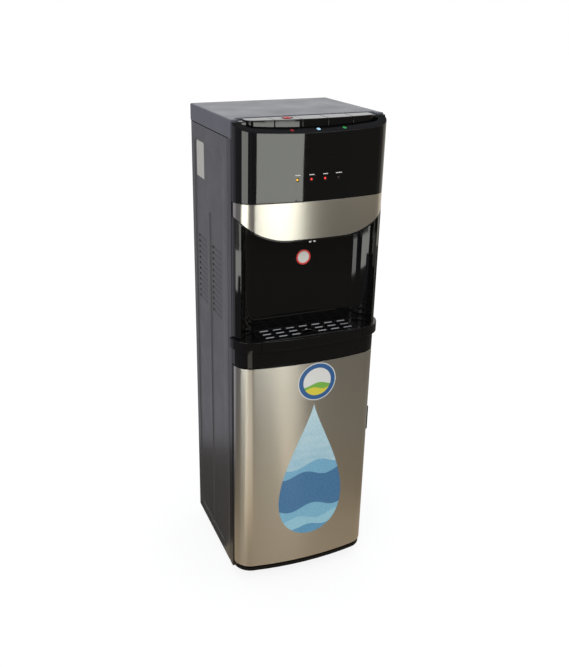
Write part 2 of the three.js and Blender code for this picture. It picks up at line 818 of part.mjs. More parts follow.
function childLock() {
  const [w, d, h] = sliderSize;
  const x = -keySpacing + sliderOffset;
  const y = -keyLine / 2;
  const top = keyTop + sliderProud;
  let slider = block(x - w / 2, x + w / 2, y - d / 2, y + d / 2, top - h, top);
  for (const step of [-1, 0, 1]) {
    const ridge = x + step * 3;
    slider = slider.subtract(block(ridge - 0.6, ridge + 0.6, y - d / 2 - 1, y + d / 2 + 1, top - 0.6, top + 1));
  }
  return slider;
}

function keyBoard() {
  const span = keySpacing + keyWidth / 2 + 12;
  let board = block(-span, span, -keyLine + 2, -keyBack - 2, boardTop - boardThickness, boardTop);
  for (const index of [-1, 0, 1]) {
    const x = index * keySpacing;
    const y = -keyLine / 2;
    board = board.add(block(x - 6, x + 6, y - 6, y + 6, boardTop - 0.5, boardTop + switchRise - 2));
    board = board.add(bar([x, y, boardTop], [x, y, boardTop + switchRise], 2.5, 8));
  }
  return board;
}

function lens(x) {
  const front = frontY(x, 0) + 0.2;
  const back = lightBoardFront - fit;
  const r = lightRadius;
  const profile = [[0, 0], [r, 0], [r, back - front - 1], [r * 0.6, back - front - 0.3], [0, back - front]];
  const points = profile.map(([a, b]) => vec(a, b));
  const lathe = new THREE.LatheGeometry(points, 10).rotateX(Math.PI);
  return toSolid(lathe.translate(x, back, lightLevel));
}

function lightBoard() {
  const y0 = lightBoardFront;
  const span = 1.5 * lightSpacing + 10;
  let board = block(lightMiddle - span, lightMiddle + span, y0, y0 + boardThickness, lightLevel - 12, lightLevel + 12);
  board = board.add(block(lightMiddle - 8, lightMiddle + 8, y0 + 1, y0 + 9, lightLevel - 8, lightLevel - 1));
  board = board.add(block(lightMiddle + 14, lightMiddle + 24, y0 + 1, y0 + 5, lightLevel + 1, lightLevel + 8));
  return board;
}

function band() {
  return frontWall(0, bandSheet, collarTop, bandTop).subtract(belowSmile(0));
}

// Plan of the dispensing recess, open to the front.
function recessPlan() {
  const r = alcoveFillet;
  const ahead = -bulge - 2 * collarProud;
  return [
    vec(-alcoveHalf, ahead), vec(alcoveHalf, ahead),
    ...arc(alcoveHalf - r, -alcoveBack - r, r, 0, 0.5 * Math.PI, 6),
    ...arc(-alcoveHalf + r, -alcoveBack - r, r, 0.5 * Math.PI, Math.PI, 6),
  ];
}

function alcoveLiner() {
  const z0 = collarTop + fit;
  const z1 = bandTop;
  const inner = bandSheet + fit;
  const clip = upright(frontRegion(inner + hoodWall), z0 - 1, ceiling);
  let liner = upright(frontRegion(inner), z0, z1);
  liner = liner.add(upright(frontRegion(0), z0, z1).intersect(belowSmile(fit)));
  liner = liner.add(block(-backHalf, backHalf, -flank - 1, -alcoveRear, z0, z1));
  const recess = upright(recessPlan(), z0 - 1, z1 + 1);
  liner = liner.subtract(recess.intersect(clip.add(belowSmile(hoodLip)).add(
    block(-backHalf, backHalf, -flank - 2, 0, z0 - 1, ceiling),
  )));
  const loft = upright(
    [...frontCurve(inner + hoodWall), vec(backHalf - moulding, -alcoveBack), vec(-backHalf + moulding, -alcoveBack)],
    ceiling + moulding, z1 + 1,
  );
  liner = liner.subtract(loft);
  return liner.subtract(bar([0, -nozzleY, ceiling - 1], [0, -nozzleY, ceiling + moulding + 1], nozzleRadius + fit));
}

function spout() {
  const seat = ceiling + moulding + fit;
  let nozzle = bar([0, -nozzleY, ceiling - nozzleDrop], [0, -nozzleY, seat + 1], nozzleRadius);
  nozzle = nozzle.add(bar([0, -nozzleY, seat], [0, -nozzleY, seat + 3], nozzleRadius + 2));
  for (const turn of [0, 1, 2]) {
    const angle = (2 * Math.PI * turn) / 3 + Math.PI / 2;
    const x = 5.4 * Math.cos(angle);
    const y = -nozzleY + 5.4 * Math.sin(angle);
    const foot0 = ceiling - nozzleDrop;
    nozzle = nozzle.add(bar([x, y, seat + 2], [x, y, seat + 12], outletRadius + 1.4, 8));
    nozzle = nozzle.subtract(bar([x, y, foot0 - 1], [x, y, seat + 13], outletRadius, 8));
  }
  return nozzle;
}

const valveX = 46;
const valveY = -24;

// A solenoid valve that stands on the alcove's ceiling.
function valve(index) {
  const x = index * valveX;
  const seat = ceiling + moulding + fit;
  return bar([x, valveY, seat], [x, valveY, seat + 14], 8)
    .add(block(x - 9, x + 9, valveY - 8, valveY + 8, seat + 12, seat + 32))
    .add(bar([x - 16, valveY, seat + 7], [x + 16, valveY, seat + 7], 3, 8));
}

function trayCollar() {
  const z0 = fasciaBottom;
  let collar = upright(frontRegion(0), z0, collarTop);
  collar = collar.add(upright(frontRegion(-collarProud), collarBottom, collarTop));
  collar = collar.add(block(-backHalf, backHalf, -flank - 1, -alcoveRear, z0, collarTop));
  const deck = collarBottom - moulding;
  collar = collar.subtract(upright(frontRegion(moulding), z0 - 1, deck));
  collar = collar.subtract(block(-backHalf + moulding, backHalf - moulding, -flank - 1, -alcoveRear - moulding, z0 - 1, deck));
  collar = collar.subtract(upright(recessPlan(), collarTop - moulding, collarTop + 1)
    .intersect(upright(frontRegion(moulding, 0), z0, collarTop + 1)));
  collar = collar.subtract(block(
    -trayHalf - running, trayHalf + running, -bulge - 2 * collarProud, -alcoveBack + running,
    collarBottom - fit, collarTop + 1,
  ));
  const x = -half + hingeX;
  collar = collar.add(bar([x, -hingeY, z0], [x, -hingeY, deck + 1], bossRadius));
  collar = collar.subtract(bar([x, -hingeY, z0 - 1], [x, -hingeY, z0 + pinSeat + fit], pinRadius + fit));
  return collar;
}

function grilleOutline(grow) {
  const side = grilleHalf + grow;
  return roundedRectangle(-side, side, -grilleFront - grow, -grilleBack + grow, grilleCorner + grow, 3);
}

function dripTray() {
  const inset = -collarProud;
  const outer = block(-trayHalf, trayHalf, -bulge - 2 * collarProud, -alcoveBack, collarBottom, collarTop)
    .intersect(upright(frontRegion(inset, 0), collarBottom, collarTop));
  const rebate = upright(grilleOutline(fit), collarTop - grilleThickness - fit, collarTop + 1);
  const basin = upright(
    roundedRectangle(-trayHalf + trayRim, trayHalf - trayRim, -grilleFront + trayRim, -grilleBack - trayRim / 2, 8, 3),
    collarBottom + trayFloor, collarTop + 1,
  );
  return outer.subtract(rebate).subtract(basin);
}

function grille() {
  const top = collarTop - fit / 2;
  const z0 = top - grilleThickness;
  let plate = upright(grilleOutline(0), z0, top);
  const slots = [];
  const side = (slotColumns - 1) / 2;
  for (const row of [0, 1, 2]) {
    const y = -grilleBack - rowStart - row * rowPitch;
    for (let column = -side; column <= side; column += 1) {
      if (row > 0 && column === 0) continue;
      const x = column * slotPitch;
      const outline = roundedRectangle(
        x - slotLength / 2, x + slotLength / 2, y - slotWidth / 2, y + slotWidth / 2, slotWidth / 2 - 0.2, 2,
      );
      slots.push(extrusion(outline, 3 * grilleThickness).translate(0, 0, z0 - grilleThickness));
    }
  }
  plate = plate.subtract(toSolid(mergeGeometries(slots)));
  const holeY = -grilleBack - rowStart - 1.5 * rowPitch;
  return plate.subtract(bar([0, holeY, z0 - 1], [0, holeY, top + 1], fingerHole));
}

// ---------------------------------------------------------------- door

function doorShell() {
  let shell = frontWall(skin + fit, doorThickness, doorBottom, doorTop);
  const pinX = -half + hingeX;
  for (const [z0, z1] of [[doorBottom - 1, doorBottom + pinDepth], [doorTop - pinDepth, doorTop + 1]]) {
    shell = shell.subtract(bar([pinX, -hingeY, z0], [pinX, -hingeY, z1], pinRadius + running));
  }
  const [w, d, h] = magnetSize;
  const x = magnetX;
  return shell.subtract(block(
    x - w / 2 - fit, x + w / 2 + fit, -flank - d - fit, -flank + 1,
    magnetLevel - h / 2 - fit, magnetLevel + h / 2 + fit,
  ));
}

const magnetX = half - doorThickness / 2 - skin;
const magnetLevel = (doorBottom + doorTop) / 2 + 60;

function magnet() {
  const [w, d, h] = magnetSize;
  return block(
    magnetX - w / 2, magnetX + w / 2, -flank - d, -flank, magnetLevel - h / 2, magnetLevel + h / 2,
  );
}

function doorPull() {
  const z0 = pullCentre - pullHeight / 2;
  const z1 = pullCentre + pullHeight / 2;
  const x0 = half + 0.2;
  const x1 = half + pullProud;
  const y0 = -flank - 0.5;
  return upright([
    vec(x0, y0), vec(x1 - 1, y0), vec(x1, y0 - 1.5), vec(x1, y0 - 4), vec(x0, y0 - 7),
  ].reverse(), z0, z1);
}

function hingePin(fixedLevel, towardsDoor) {
  const x = -half + hingeX;
  const y = -hingeY;
  const into = fixedLevel - towardsDoor * pinSeat;
  const out = fixedLevel + towardsDoor * (doorGap + pinDepth - 1);
  const washer = fixedLevel + towardsDoor * fit;
  return bar([x, y, into], [x, y, out], pinRadius)
    .add(bar([x, y, washer], [x, y, washer + towardsDoor], pinRadius + 2));
}

// ---------------------------------------------------------------- works

const shelfEdge = 12;

// A shelf of sheet steel between the side panels, its front edge turned up.
function shelf(level) {
  const front = sheet + fit;
  const rear = sideDepth - sheet - fit;
  const bottom = level - sheet;
  const section = [
    vec(front, bottom), vec(rear, bottom), vec(rear, level), vec(front + sheet, level),
    vec(front + sheet, level + shelfEdge), vec(front, level + shelfEdge),
  ];
  return sideways(section, -innerHalf, innerHalf);
}

const shelfHole = (x, y, level, radius) => bar([x, y, level - 2 * sheet], [x, y, level + sheet], radius);

function midShelf() {
  return shelf(shelfTop).subtract(shelfHole(-probeX, probeY, shelfTop, hoseRadius + 1));
}

const linerWall = 2;
const clipLength = 24;
const clipHeight = 12;

// Open-fronted liner of the bottle bay, with floor rails and the clip that parks the probe.
function bayLiner() {
  const x = innerHalf;
  const y0 = -pillarReach + pillarWall + fit;
  const y1 = sideDepth - sheet - fit;
  const z0 = baseTop + fit;
  const z1 = shelfTop - sheet - fit;
  let liner = block(-x, x, y0, y1, z0, z1)
    .subtract(block(-x + linerWall, x - linerWall, y0 - 1, y1 - linerWall, z0 + linerWall, z1 + 1));
  for (const side of [-1, 1]) {
    const rail = side * 70;
    liner = liner.add(block(rail - 6, rail + 6, 20, y1 - 20, z0 + linerWall / 2, z0 + linerWall + 4));
  }
  const clipTop = probeLevel - fit;
  liner = liner.add(block(
    -x + linerWall / 2, -probeX + clipLength / 2, probeY - clipLength / 2, probeY + clipLength / 2,
    clipTop - clipHeight, clipTop,
  ));
  liner = liner.subtract(bar(
    [-probeX, probeY, clipTop - clipHeight - 1], [-probeX, probeY, clipTop + 1], probeTube + running,
  ));
  return liner.subtract(block(
    -probeX, -probeX + clipLength, probeY - probeTube + 1, probeY + probeTube - 1,
    clipTop - clipHeight - 1, clipTop + 1,
  ));
}

function bottleProbe() {
  const z = probeLevel;
  const r = probeCapRadius;
  const h = probeCapHeight;
  const cap = turned([
    [0, 0], [r, 0], [r, h * 0.55], [r * 0.8, h * 0.7], [r * 0.45, h * 0.78], [r * 0.4, h], [0, h],
  ], [-probeX, probeY, z]);
  const stem = turned([
    [0, 0], [probeTube * 0.6, 0], [probeTube, 6], [probeTube, probeLength + 1], [0, probeLength + 1],
  ], [-probeX, probeY, z - probeLength], segments.small);
  return cap.add(stem);
}

function probeHose() {
  const z0 = probeLevel + probeCapHeight + fit;
  return bar([-probeX, probeY, z0], [-probeX, probeY, shelfTop + 12], hoseRadius);
}

// Pump on the mid shelf, standing on its inlet sleeve and two feet.
function pump() {
  const seat = shelfTop + fit;
  const deck = shelfTop + 12 + probeTravel + 4;
  const x = -probeX;
  const y = probeY + 18;
  let body = block(x - 22, x + 22, probeY - 8, y + 34, deck, deck + 40);
  body = body.add(bar([x, y + 10, deck + 20], [x, y + 10, deck + 92], 20));
  for (const dx of [-18, 18]) body = body.add(block(x + dx - 4, x + dx + 4, y + 10, y + 34, seat, deck + 1));
  const sleeve = hoseRadius + running;
  body = body.add(bar([x, probeY, seat], [x, probeY, deck + 1], sleeve + 2));
  body = body.subtract(bar([x, probeY, seat - 1], [x, probeY, deck], sleeve));
  return body.add(bar([x + 21, y, deck + 24], [x + 32, y, deck + 24], 4, 8));
}

const compressorX = 78;
const compressorBack = 14; // free room behind the compressor
const compressorY = rearFace - compressorBack - compressorRadius;

function compressor() {
  const r = compressorRadius;
  const h = compressorHeight;
  const deck = shelfTop + 12;
  let unit = turned([
    [0, 0], [r * 0.75, 3], [r, 24], [r, h * 0.5], [r + 2.5, h * 0.5], [r + 2.5, h * 0.5 + 5],
    [r, h * 0.5 + 5], [r, h - 30], [r * 0.85, h - 10], [r * 0.5, h], [0, h],
  ], [compressorX, compressorY, deck + 1]);
  unit = unit.add(block(
    compressorX - r, compressorX + r, compressorY - 44, compressorY + 44, deck, deck + 3,
  ));
  for (const dx of [-r + 10, r - 10]) {
    for (const dy of [-34, 34]) {
      const x = compressorX + dx;
      const y = compressorY + dy;
      unit = unit.add(bar([x, y, shelfTop + fit], [x, y, deck + 7], 7));
    }
  }
  return unit.add(block(compressorX - r - 9, compressorX - r + 12, compressorY - 16, compressorY + 16, deck + 40, deck + 76));
}

const hotX = -70;
const bandThickness = 4;
const hotBack = 27; // free room behind the heating band
const hotY = rearFace - hotBack - hotRadius - bandThickness;

const tankWall = 1.5;

// A drawn tank with domed ends, a closed neck on top and an open outlet below.
function tankProfile(r, h, neck) {
  const w = tankWall;
  return [
    [4, -neck], [6, -neck], [6, 0], [r * 0.7, 0], [r, 12], [r, h - 12], [r * 0.7, h], [6, h], [6, h + neck], [0, h + neck],
    [0, h + neck - w], [4, h + neck - w], [4, h - w], [r * 0.7 - w, h - w], [r - w, h - 12 - w],
    [r - w, 12 + w], [r * 0.7 - w, w], [4, w], [4, -neck],
  ];
}

function hotTank() {
  const r = hotRadius;
  const z = shelfTop + hotStand;
  const legs = [-1, 1].map((side) => block(
    hotX + side * r * 0.6 - 6, hotX + side * r * 0.6 + 6, hotY - 8, hotY + 8, shelfTop + fit, z + 5,
  ));
  const port = (from, to, radius) => bar([drainX, from, drainLevel], [drainX, to, drainLevel], radius);
  return turned(tankProfile(r, hotHeight, hotNeck), [hotX, hotY, z])
    .add(legs[0]).add(legs[1])
    .add(port(hotY + r - 6, hotY + r + bandThickness, drainPipe))
    .subtract(port(hotY + r - 8, hotY + r + bandThickness + 1, drainPipe - 2));
}

// Two-ended heating band clamped round the hot tank.
function heatingBand() {
  const z0 = shelfTop + 70;
  const inner = hotRadius + fit;
  const ring = bar([hotX, hotY, z0], [hotX, hotY, z0 + 40], inner + bandThickness, segments.round)
    .subtract(bar([hotX, hotY, z0 - 1], [hotX, hotY, z0 + 41], inner, segments.round));
  const y = hotY - inner - bandThickness;
  return ring.subtract(block(hotX - 3, hotX + 3, y - 10, hotY, z0 - 1, z0 + 41))
    .add(block(hotX - 8, hotX - 3, y - 10, y + 3, z0 + 8, z0 + 32))
    .add(block(hotX + 3, hotX + 8, y - 10, y + 3, z0 + 8, z0 + 32));
}

// The coil's axis stands off far enough for the flats of its polygon to clear the tank.
const facet = Math.cos(Math.PI / segments.round);
const coilAxis = (coldRadius + fit + coilRadius) / facet;
const foamCavity = (coilAxis + coilRadius + fit) / facet;
const foamOuter = foamCavity + foamWall;
const coldX = 0;
const coldBack = 18; // free room behind the foam
const coldY = rearFace - coldBack - foamOuter;
const coilInset = 22;

function tankShelf() {
  return shelf(tankShelfTop)
    .subtract(shelfHole(coldX, coldY, tankShelfTop, 9))
    .subtract(shelfHole(hotX, hotY, tankShelfTop, 12))
    .subtract(shelfHole(riserX, riserY, tankShelfTop, pipeRadius + 1));
}

function coldTank() {
  return turned(tankProfile(coldRadius, coldHeight, foamBase + 10), [coldX, coldY, tankShelfTop + fit + foamBase]);
}

// Evaporator: one unbroken pipe wound round the cold tank.
function evaporator() {
  const perTurn = segments.round;
  const r = coilAxis;
  const base = tankShelfTop + foamBase + coilInset;
  const stations = Array.from({ length: coilTurns * perTurn + 1 }, (_, i) => {
    const angle = (2 * Math.PI * i) / perTurn;
    return new THREE.Vector3(
      coldX + r * Math.cos(angle), coldY + r * Math.sin(angle), base + (coilPitch * i) / perTurn,
    );
  });
  return tube(stations, coilRadius, 5);
}

// One half of the foam box round the cold tank: side is -1 for the front half, 1 for the rear.
function foamHalf(side) {
  const outer = foamOuter;
  const z0 = tankShelfTop + fit;
  const z1 = z0 + 2 * foamBase + coldHeight + 2;
  const seam = coldY + side * (fit / 2);
  const face = coldY + side * outer;
  return block(coldX - outer, coldX + outer, Math.min(seam, face), Math.max(seam, face), z0, z1)
    .subtract(bar([coldX, coldY, z0 + foamBase - fit], [coldX, coldY, z1 - foamBase], foamCavity, segments.round))
    .subtract(bar([coldX, coldY, z0 - 1], [coldX, coldY, z1 + 1], 8));
}

function controlBoard() {
  const y0 = -alcoveRear + fit;
  const [x0, x1] = [-30, 95];
  const [z0, z1] = [shelfTop + 30, shelfTop + 150];
  const face = y0 + 5;
  let board = block(x0, x1, y0 + 5 - boardThickness, face, z0, z1);
  for (const x of [x0 + 8, x1 - 8]) {
    for (const z of [z0 + 8, z1 - 8]) board = board.add(bar([x, y0, z], [x, face - 0.5, z], 3, 8));
  }
  board = board.add(block(x0 + 12, x0 + 52, face - 0.5, face + 34, z0 + 14, z0 + 48));
  for (const i of [0, 1, 2]) {
    board = board.add(block(x0 + 62 + i * 19, x0 + 77 + i * 19, face - 0.5, face + 16, z0 + 14, z0 + 34));
    board = board.add(block(x0 + 62 + i * 19, x0 + 76 + i * 19, face - 0.5, face + 10, z1 - 22, z1 - 14));
  }
  board = board.add(bar([x0 + 30, face - 0.5, z0 + 72], [x0 + 30, face + 24, z0 + 72], 9));
  return board.add(block(x0 + 66, x0 + 92, face - 0.5, face + 6, z0 + 60, z0 + 80));
}

const portOffset = 30; // the compressor's pipe ports, off its middle
const riserOffset = 14; // the rising pipe beside the inlet of the condenser
const pipeBend = 6.5;
const riserX = inletX + riserOffset;
const riserY = compressorY + portOffset + 20;

// Discharge pipe from the compressor out to the top of the condenser.
function dischargeLine() {
  const z = shelfTop + 90;
  const y = compressorY + portOffset;
  const wall = compressorX + Math.sqrt(compressorRadius ** 2 - portOffset ** 2);
  return tube(pipeRun([
    [wall + 4, y, z], [riserX, y, z], [riserX, riserY, z], [riserX, riserY, inletLevel],
    [inletX, riserY, inletLevel], [inletX, rearSkin, inletLevel],
  ], pipeBend, 3), pipeRadius, segments.pipe);
}

// Suction pipe from the foam box down to the compressor.
function suctionLine() {
  const z = shelfTop + 60;
  const x = compressorX - portOffset;
  const wall = compressorY - Math.sqrt(compressorRadius ** 2 - portOffset ** 2);
  return tube(pipeRun([
    [x, wall - 4, z], [x, wall - 26, z], [x, wall - 26, tankShelfTop - sheet - fit],
  ], 10, 4), pipeRadius, segments.pipe);
}

// ---------------------------------------------------------------- assembly

const assembly = new THREE.Group();

function place(name, solid, finish) {
  const mesh = new THREE.Mesh(toGeometry(solid), new THREE.MeshStandardMaterial(finishes[finish]));
  mesh.name = name;
  assembly.add(mesh);
}

// The mirror image in X of a solid's geometry.
function placeMirrored(name, solid, finish) {
  const geometry = toGeometry(solid).scale(-1, 1, 1);
  const index = geometry.getIndex().array;
  for (let i = 0; i < index.length; i += 3) [index[i], index[i + 1]] = [index[i + 1], index[i]];
  const mesh = new THREE.Mesh(geometry, new THREE.MeshStandardMaterial(finishes[finish]));
  mesh.name = name;
  assembly.add(mesh);
}

place('base_pan', basePan(), 'blackPlastic');
for (const [name, [x, y]] of Object.entries(footPlaces)) {
  place(name, turned(foot(), [x, y, 0], segments.small), 'rubber');
}
place('left_side_panel', sidePanel(), 'greyPaint');
placeMirrored('right_side_panel', sidePanel(), 'greyPaint');
place('rear_panel', rearPanel(), 'greyPaint');
place('top_cover', topCover(), 'greyPaint');
place('pillar_left', pillar(-1), 'greyPaint');
place('pillar_right', pillar(1), 'greyPaint');
place('upper_front_panel', upperPanel(), 'blackGloss');
place('steel_band', band(), 'brushedSteel');
place('alcove_liner', alcoveLiner(), 'blackGloss');
place('tray_collar', trayCollar(), 'blackGloss');
place('drip_tray', dripTray(), 'blackGloss');
place('drip_grille', grille(), 'blackGloss');
place('key_hot', hotKey(), 'blackGloss');
place('key_cold', key(0), 'blackGloss');
place('key_room', key(1), 'blackGloss');
place('child_lock_slider', childLock(), 'redPlastic');
lightPlaces.forEach((x, i) => place(`indicator_${i + 1}`, lens(x), i === 0 ? 'amberLens' : 'redPlastic'));
place('indicator_board', lightBoard(), 'board');
place('key_switch_board', keyBoard(), 'board');
place('spout_nozzle', spout(), 'blackPlastic');
place('valve_hot', valve(-1), 'whitePlastic');
place('valve_cold', valve(0), 'whitePlastic');
place('valve_room', valve(1), 'whitePlastic');
place('mid_shelf', midShelf(), 'bareSteel');
place('bay_liner', bayLiner(), 'blackPlastic');
place('bottle_probe', bottleProbe(), 'whitePlastic');
place('probe_hose', probeHose(), 'clearHose');
place('water_pump', pump(), 'blackPlastic');
place('compressor', compressor(), 'blackPaint');
place('hot_tank', hotTank(), 'bareSteel');
place('heating_band', heatingBand(), 'bareSteel');
place('tank_shelf', tankShelf(), 'bareSteel');
place('cold_tank', coldTank(), 'bareSteel');
place('evaporator_coil', evaporator(), 'copper');
place('foam_front', foamHalf(-1), 'foam');
place('foam_rear', foamHalf(1), 'foam');
place('control_board', controlBoard(), 'board');
place('discharge_line', dischargeLine(), 'copper');
place('suction_line', suctionLine(), 'copper');
place('condenser', condenser(), 'blackPaint');
place('filter_drier', filterDrier(), 'copper');
place('rocker_hot', rocker(switchX[0]), 'redPlastic');
place('rocker_cold', rocker(switchX[1]), 'blackPlastic');
place('power_gland', gland(), 'rubber');
place('drain_line', drainLine(), 'bareSteel');
place('drain_plug', drainPlug(), 'blackPlastic');
place('door_shell', doorShell(), 'blackPlastic');
place('door_skin', frontWall(0, skin, doorBottom, doorTop), 'brushedSteel');
place('door_pull', doorPull(), 'blackPlastic');
place('door_magnet', magnet(), 'rubber');
place('hinge_pin_upper', hingePin(fasciaBottom, -1), 'bareSteel');
place('hinge_pin_lower', hingePin(baseTop, 1), 'bareSteel');

const frontReach = bulge + collarProud;
const rearReach = condenserY + Math.max(tubeRadius + wireSize, drierRadius);
assembly.position.y = (frontReach - rearReach) / 2;

const group = new THREE.Group();
group.add(assembly);
export default group;
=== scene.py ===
import math
from contextlib import contextmanager

import bmesh
import bpy
from mathutils import Matrix, Vector


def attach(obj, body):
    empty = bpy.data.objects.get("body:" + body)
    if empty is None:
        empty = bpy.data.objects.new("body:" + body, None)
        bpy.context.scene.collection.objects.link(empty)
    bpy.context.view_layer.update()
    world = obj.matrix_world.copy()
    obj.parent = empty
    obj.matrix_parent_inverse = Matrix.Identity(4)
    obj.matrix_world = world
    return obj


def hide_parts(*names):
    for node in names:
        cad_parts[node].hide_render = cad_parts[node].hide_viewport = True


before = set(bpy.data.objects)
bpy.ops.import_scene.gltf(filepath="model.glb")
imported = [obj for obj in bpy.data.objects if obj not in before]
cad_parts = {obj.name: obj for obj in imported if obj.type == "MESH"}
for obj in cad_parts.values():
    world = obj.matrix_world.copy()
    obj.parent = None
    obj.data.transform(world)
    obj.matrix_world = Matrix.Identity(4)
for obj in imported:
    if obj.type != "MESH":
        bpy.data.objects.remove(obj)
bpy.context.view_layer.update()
scene = bpy.context.scene

# ---------------------------------------------------------------- sizes, in millimetres
# Cabinet axes: y = 0 is the front edge of the side panels, z = 0 is the floor.

MM = 0.001
SHIFT = -94.8  # from the cabinet's y to the row's y
HALF = 155.0
SIDE_DEPTH = 237.0
FIT = 0.4
RUNNING = 0.5
SHEET = 1.2
MOULDING = 3.0
FLANK = 21.5
BULGE = 71.4
CORNER = 40.0
PILLAR_REACH = 18.5
PILLAR_RETURN = 14.0
DOOR_BOTTOM = 41.0
DOOR_TOP = 526.0
FASCIA_BOTTOM = 528.0
COLLAR_BOTTOM = 566.0
COLLAR_TOP = 587.0
SMILE_LEVEL = 788.0
BAND_TOP = 860.0
TOP_LEVEL = 1008.0
COVER_BOTTOM = 974.0
POCKET_FLOOR = 975.0
PANEL_SHELF = 1005.0
KEY_TOP = 1007.0
KEY_INSET = 26.0  # from the front curve to the keys' faces
KEY_BOTTOM = 971.0
FRONT_DROP = 22.0
DROP_START = 10.0
RIM = 17.0
KEY_LINE = 26.0
KEY_BACK = 1.0
KEY_WIDTH = 51.5
KEY_SPACING = 52.2
SMILE_FLAT = 55.0
SMILE_RADIUS = 133.0
HOOD_LIP = 4.0
HOOD_WALL = 4.0
ALCOVE_BACK = 10.0
ALCOVE_HALF = 144.0
ALCOVE_FILLET = 40.0
CEILING = 812.0
NOZZLE_Y = 47.0
NOZZLE_RADIUS = 11.0
COLLAR_PROUD = 6.6
TRAY_HALF = 110.0
GRILLE_HALF = 108.6
GRILLE_FRONT = 67.6
GRILLE_BACK = 12.4
GRILLE_THICK = 2.6
GRILLE_CORNER = 6.0
SLOT_LENGTH = 23.0
SLOT_WIDTH = 8.5
SLOT_PITCH = 28.5
ROW_PITCH = 17.0
ROW_START = 9.5
FINGER_HOLE = 12.5
LIGHT_LEVEL = 901.8
LIGHT_X = (-43.3, -15.7, 11.9, 39.5)
ARM = 15.0
BACK_HALF = HALF - PILLAR_RETURN - FIT
ARM_INNER = HALF - ARM - FIT
BACK_GAP = 0.6  # between the back of the upper parts and the cabinet's front
STEEL_EDGE = 0.5
COVER_ROUND = 3.2
LENS_RADIUS = 2.4
SEAT = 0.1  # how far the key surround sinks into the panel
HINGE = (-HALF + 7.5, -31.0)
HINGE_BOSS = 6.4
HINGE_BORE = 2.9
BORE_DEPTH = 6.4
DOOR_BORE = 3.0
SLIDER_TOP = KEY_TOP + 1.2
SLIDER_Y = -KEY_LINE / 2 - 9.0
REAR_SKIN = 238.6
STEEL_TRIM = 3  # stations by which the steel stops short of the ends of the front curve
CORNER_STEPS = 22
FRONT_STEPS = 44


def row(x, y, z):
    """A cabinet point in millimetres as a row point in metres."""
    return Vector((x * MM, (y + SHIFT) * MM, z * MM))


# ---------------------------------------------------------------- outlines

REACH = BULGE - FLANK
CORNER_X = HALF - CORNER
FRONT_RADIUS = (CORNER_X ** 2 + REACH ** 2 - CORNER ** 2) / (2 * (REACH - CORNER))
FRONT_CENTRE = FRONT_RADIUS - BULGE
FRONT_TURN = math.atan2(CORNER_X, FRONT_CENTRE + FLANK)
DOWN = 1.5 * math.pi


def arc(cx, cy, radius, start, end, steps):
    """Points of a circular arc, both ends included."""
    turns = [start + (end - start) * i / steps for i in range(steps + 1)]
    return [(cx + radius * math.cos(t), cy + radius * math.sin(t)) for t in turns]


def front_stations():
    """Points of the front curve with their inward normals, left to right."""
    found = []
    left = arc(-CORNER_X, -FLANK, 1, math.pi, DOWN - FRONT_TURN, CORNER_STEPS)
    for x, y in left:
        n = (x + CORNER_X, y + FLANK)
        found.append((-CORNER_X + CORNER * n[0], -FLANK + CORNER * n[1], -n[0], -n[1]))
    for x, y in arc(0, 0, 1, DOWN - FRONT_TURN, DOWN + FRONT_TURN, FRONT_STEPS)[1:-1]:
        found.append((FRONT_RADIUS * x, FRONT_CENTRE + FRONT_RADIUS * y, -x, -y))
    right = [(-x, y, -nx, ny) for x, y, nx, ny in found[:CORNER_STEPS + 1]]
    found += right[::-1]
    return found


def front_curve(inset):
    return [(x + nx * inset, y + ny * inset) for x, y, nx, ny in front_stations()]


def front_region(inset, back=-FLANK):
    side = HALF - inset
    rear = [(side, back), (-side, back)] if back > -FLANK else []
    return front_curve(inset) + rear


def rounded_rectangle(x0, x1, y0, y1, radius, steps=8):
    q = math.pi / 2
    return (arc(x0 + radius, y0 + radius, radius, 2 * q, 3 * q, steps)
            + arc(x1 - radius, y0 + radius, radius, 3 * q, 4 * q, steps)
            + arc(x1 - radius, y1 - radius, radius, 0, q, steps)
            + arc(x0 + radius, y1 - radius, radius, q, 2 * q, steps))


def smile_height(x, drop=0.0):
    """Height of the band's lower edge at x."""
    beyond = max(abs(x) - SMILE_FLAT, 0.0)
    return SMILE_LEVEL - drop + SMILE_RADIUS - math.sqrt(SMILE_RADIUS ** 2 - beyond ** 2)


def slope_height(y, drop=0.0):
    """Height of the upper panel's top at y."""
    return TOP_LEVEL - drop + (y + DROP_START) * FRONT_DROP / (BULGE - DROP_START)


# ---------------------------------------------------------------- meshes

def new_object(name, bm, scale=True):
    """An object from a bmesh in cabinet millimetres."""
    if scale:
        for v in bm.verts:
            v.co = row(*v.co)
    bmesh.ops.recalc_face_normals(bm, faces=bm.faces)
    mesh = bpy.data.meshes.new(name)
    bm.to_mesh(mesh)
    bm.free()
    obj = bpy.data.objects.new(name, mesh)
    scene.collection.objects.link(obj)
    return obj


def loft(outlines):
    """A solid through several outlines of (x, y, z) points, all of one length."""
    bm = bmesh.new()
    rings = [[bm.verts.new(point) for point in line] for line in outlines]
    bm.faces.new(rings[0])
    bm.faces.new(rings[-1])
    for a, b in zip(rings, rings[1:]):
        for k in range(len(a)):
            m = (k + 1) % len(a)
            bm.faces.new((a[k], a[m], b[m], b[k]))
    return new_object("tool", bm)


def prism(points, low, high, along="z"):
    """An outline raised along an axis: along y it lies in x and z, along x in y and z."""
    place = {
        "z": lambda p, t: (p[0], p[1], t),
        "y": lambda p, t: (p[0], t, p[1]),
        "x": lambda p, t: (t, p[0], p[1]),
    }[along]
    return loft([[place(p, t) for p in points] for t in (low, high)])


def box(x0, x1, y0, y1, z0, z1):
    return prism([(x0, y0), (x1, y0), (x1, y1), (x0, y1)], z0, z1)


def ring(x, y, radius, sides):
    return arc(x, y, radius, 0, 2 * math.pi, sides)[:-1]


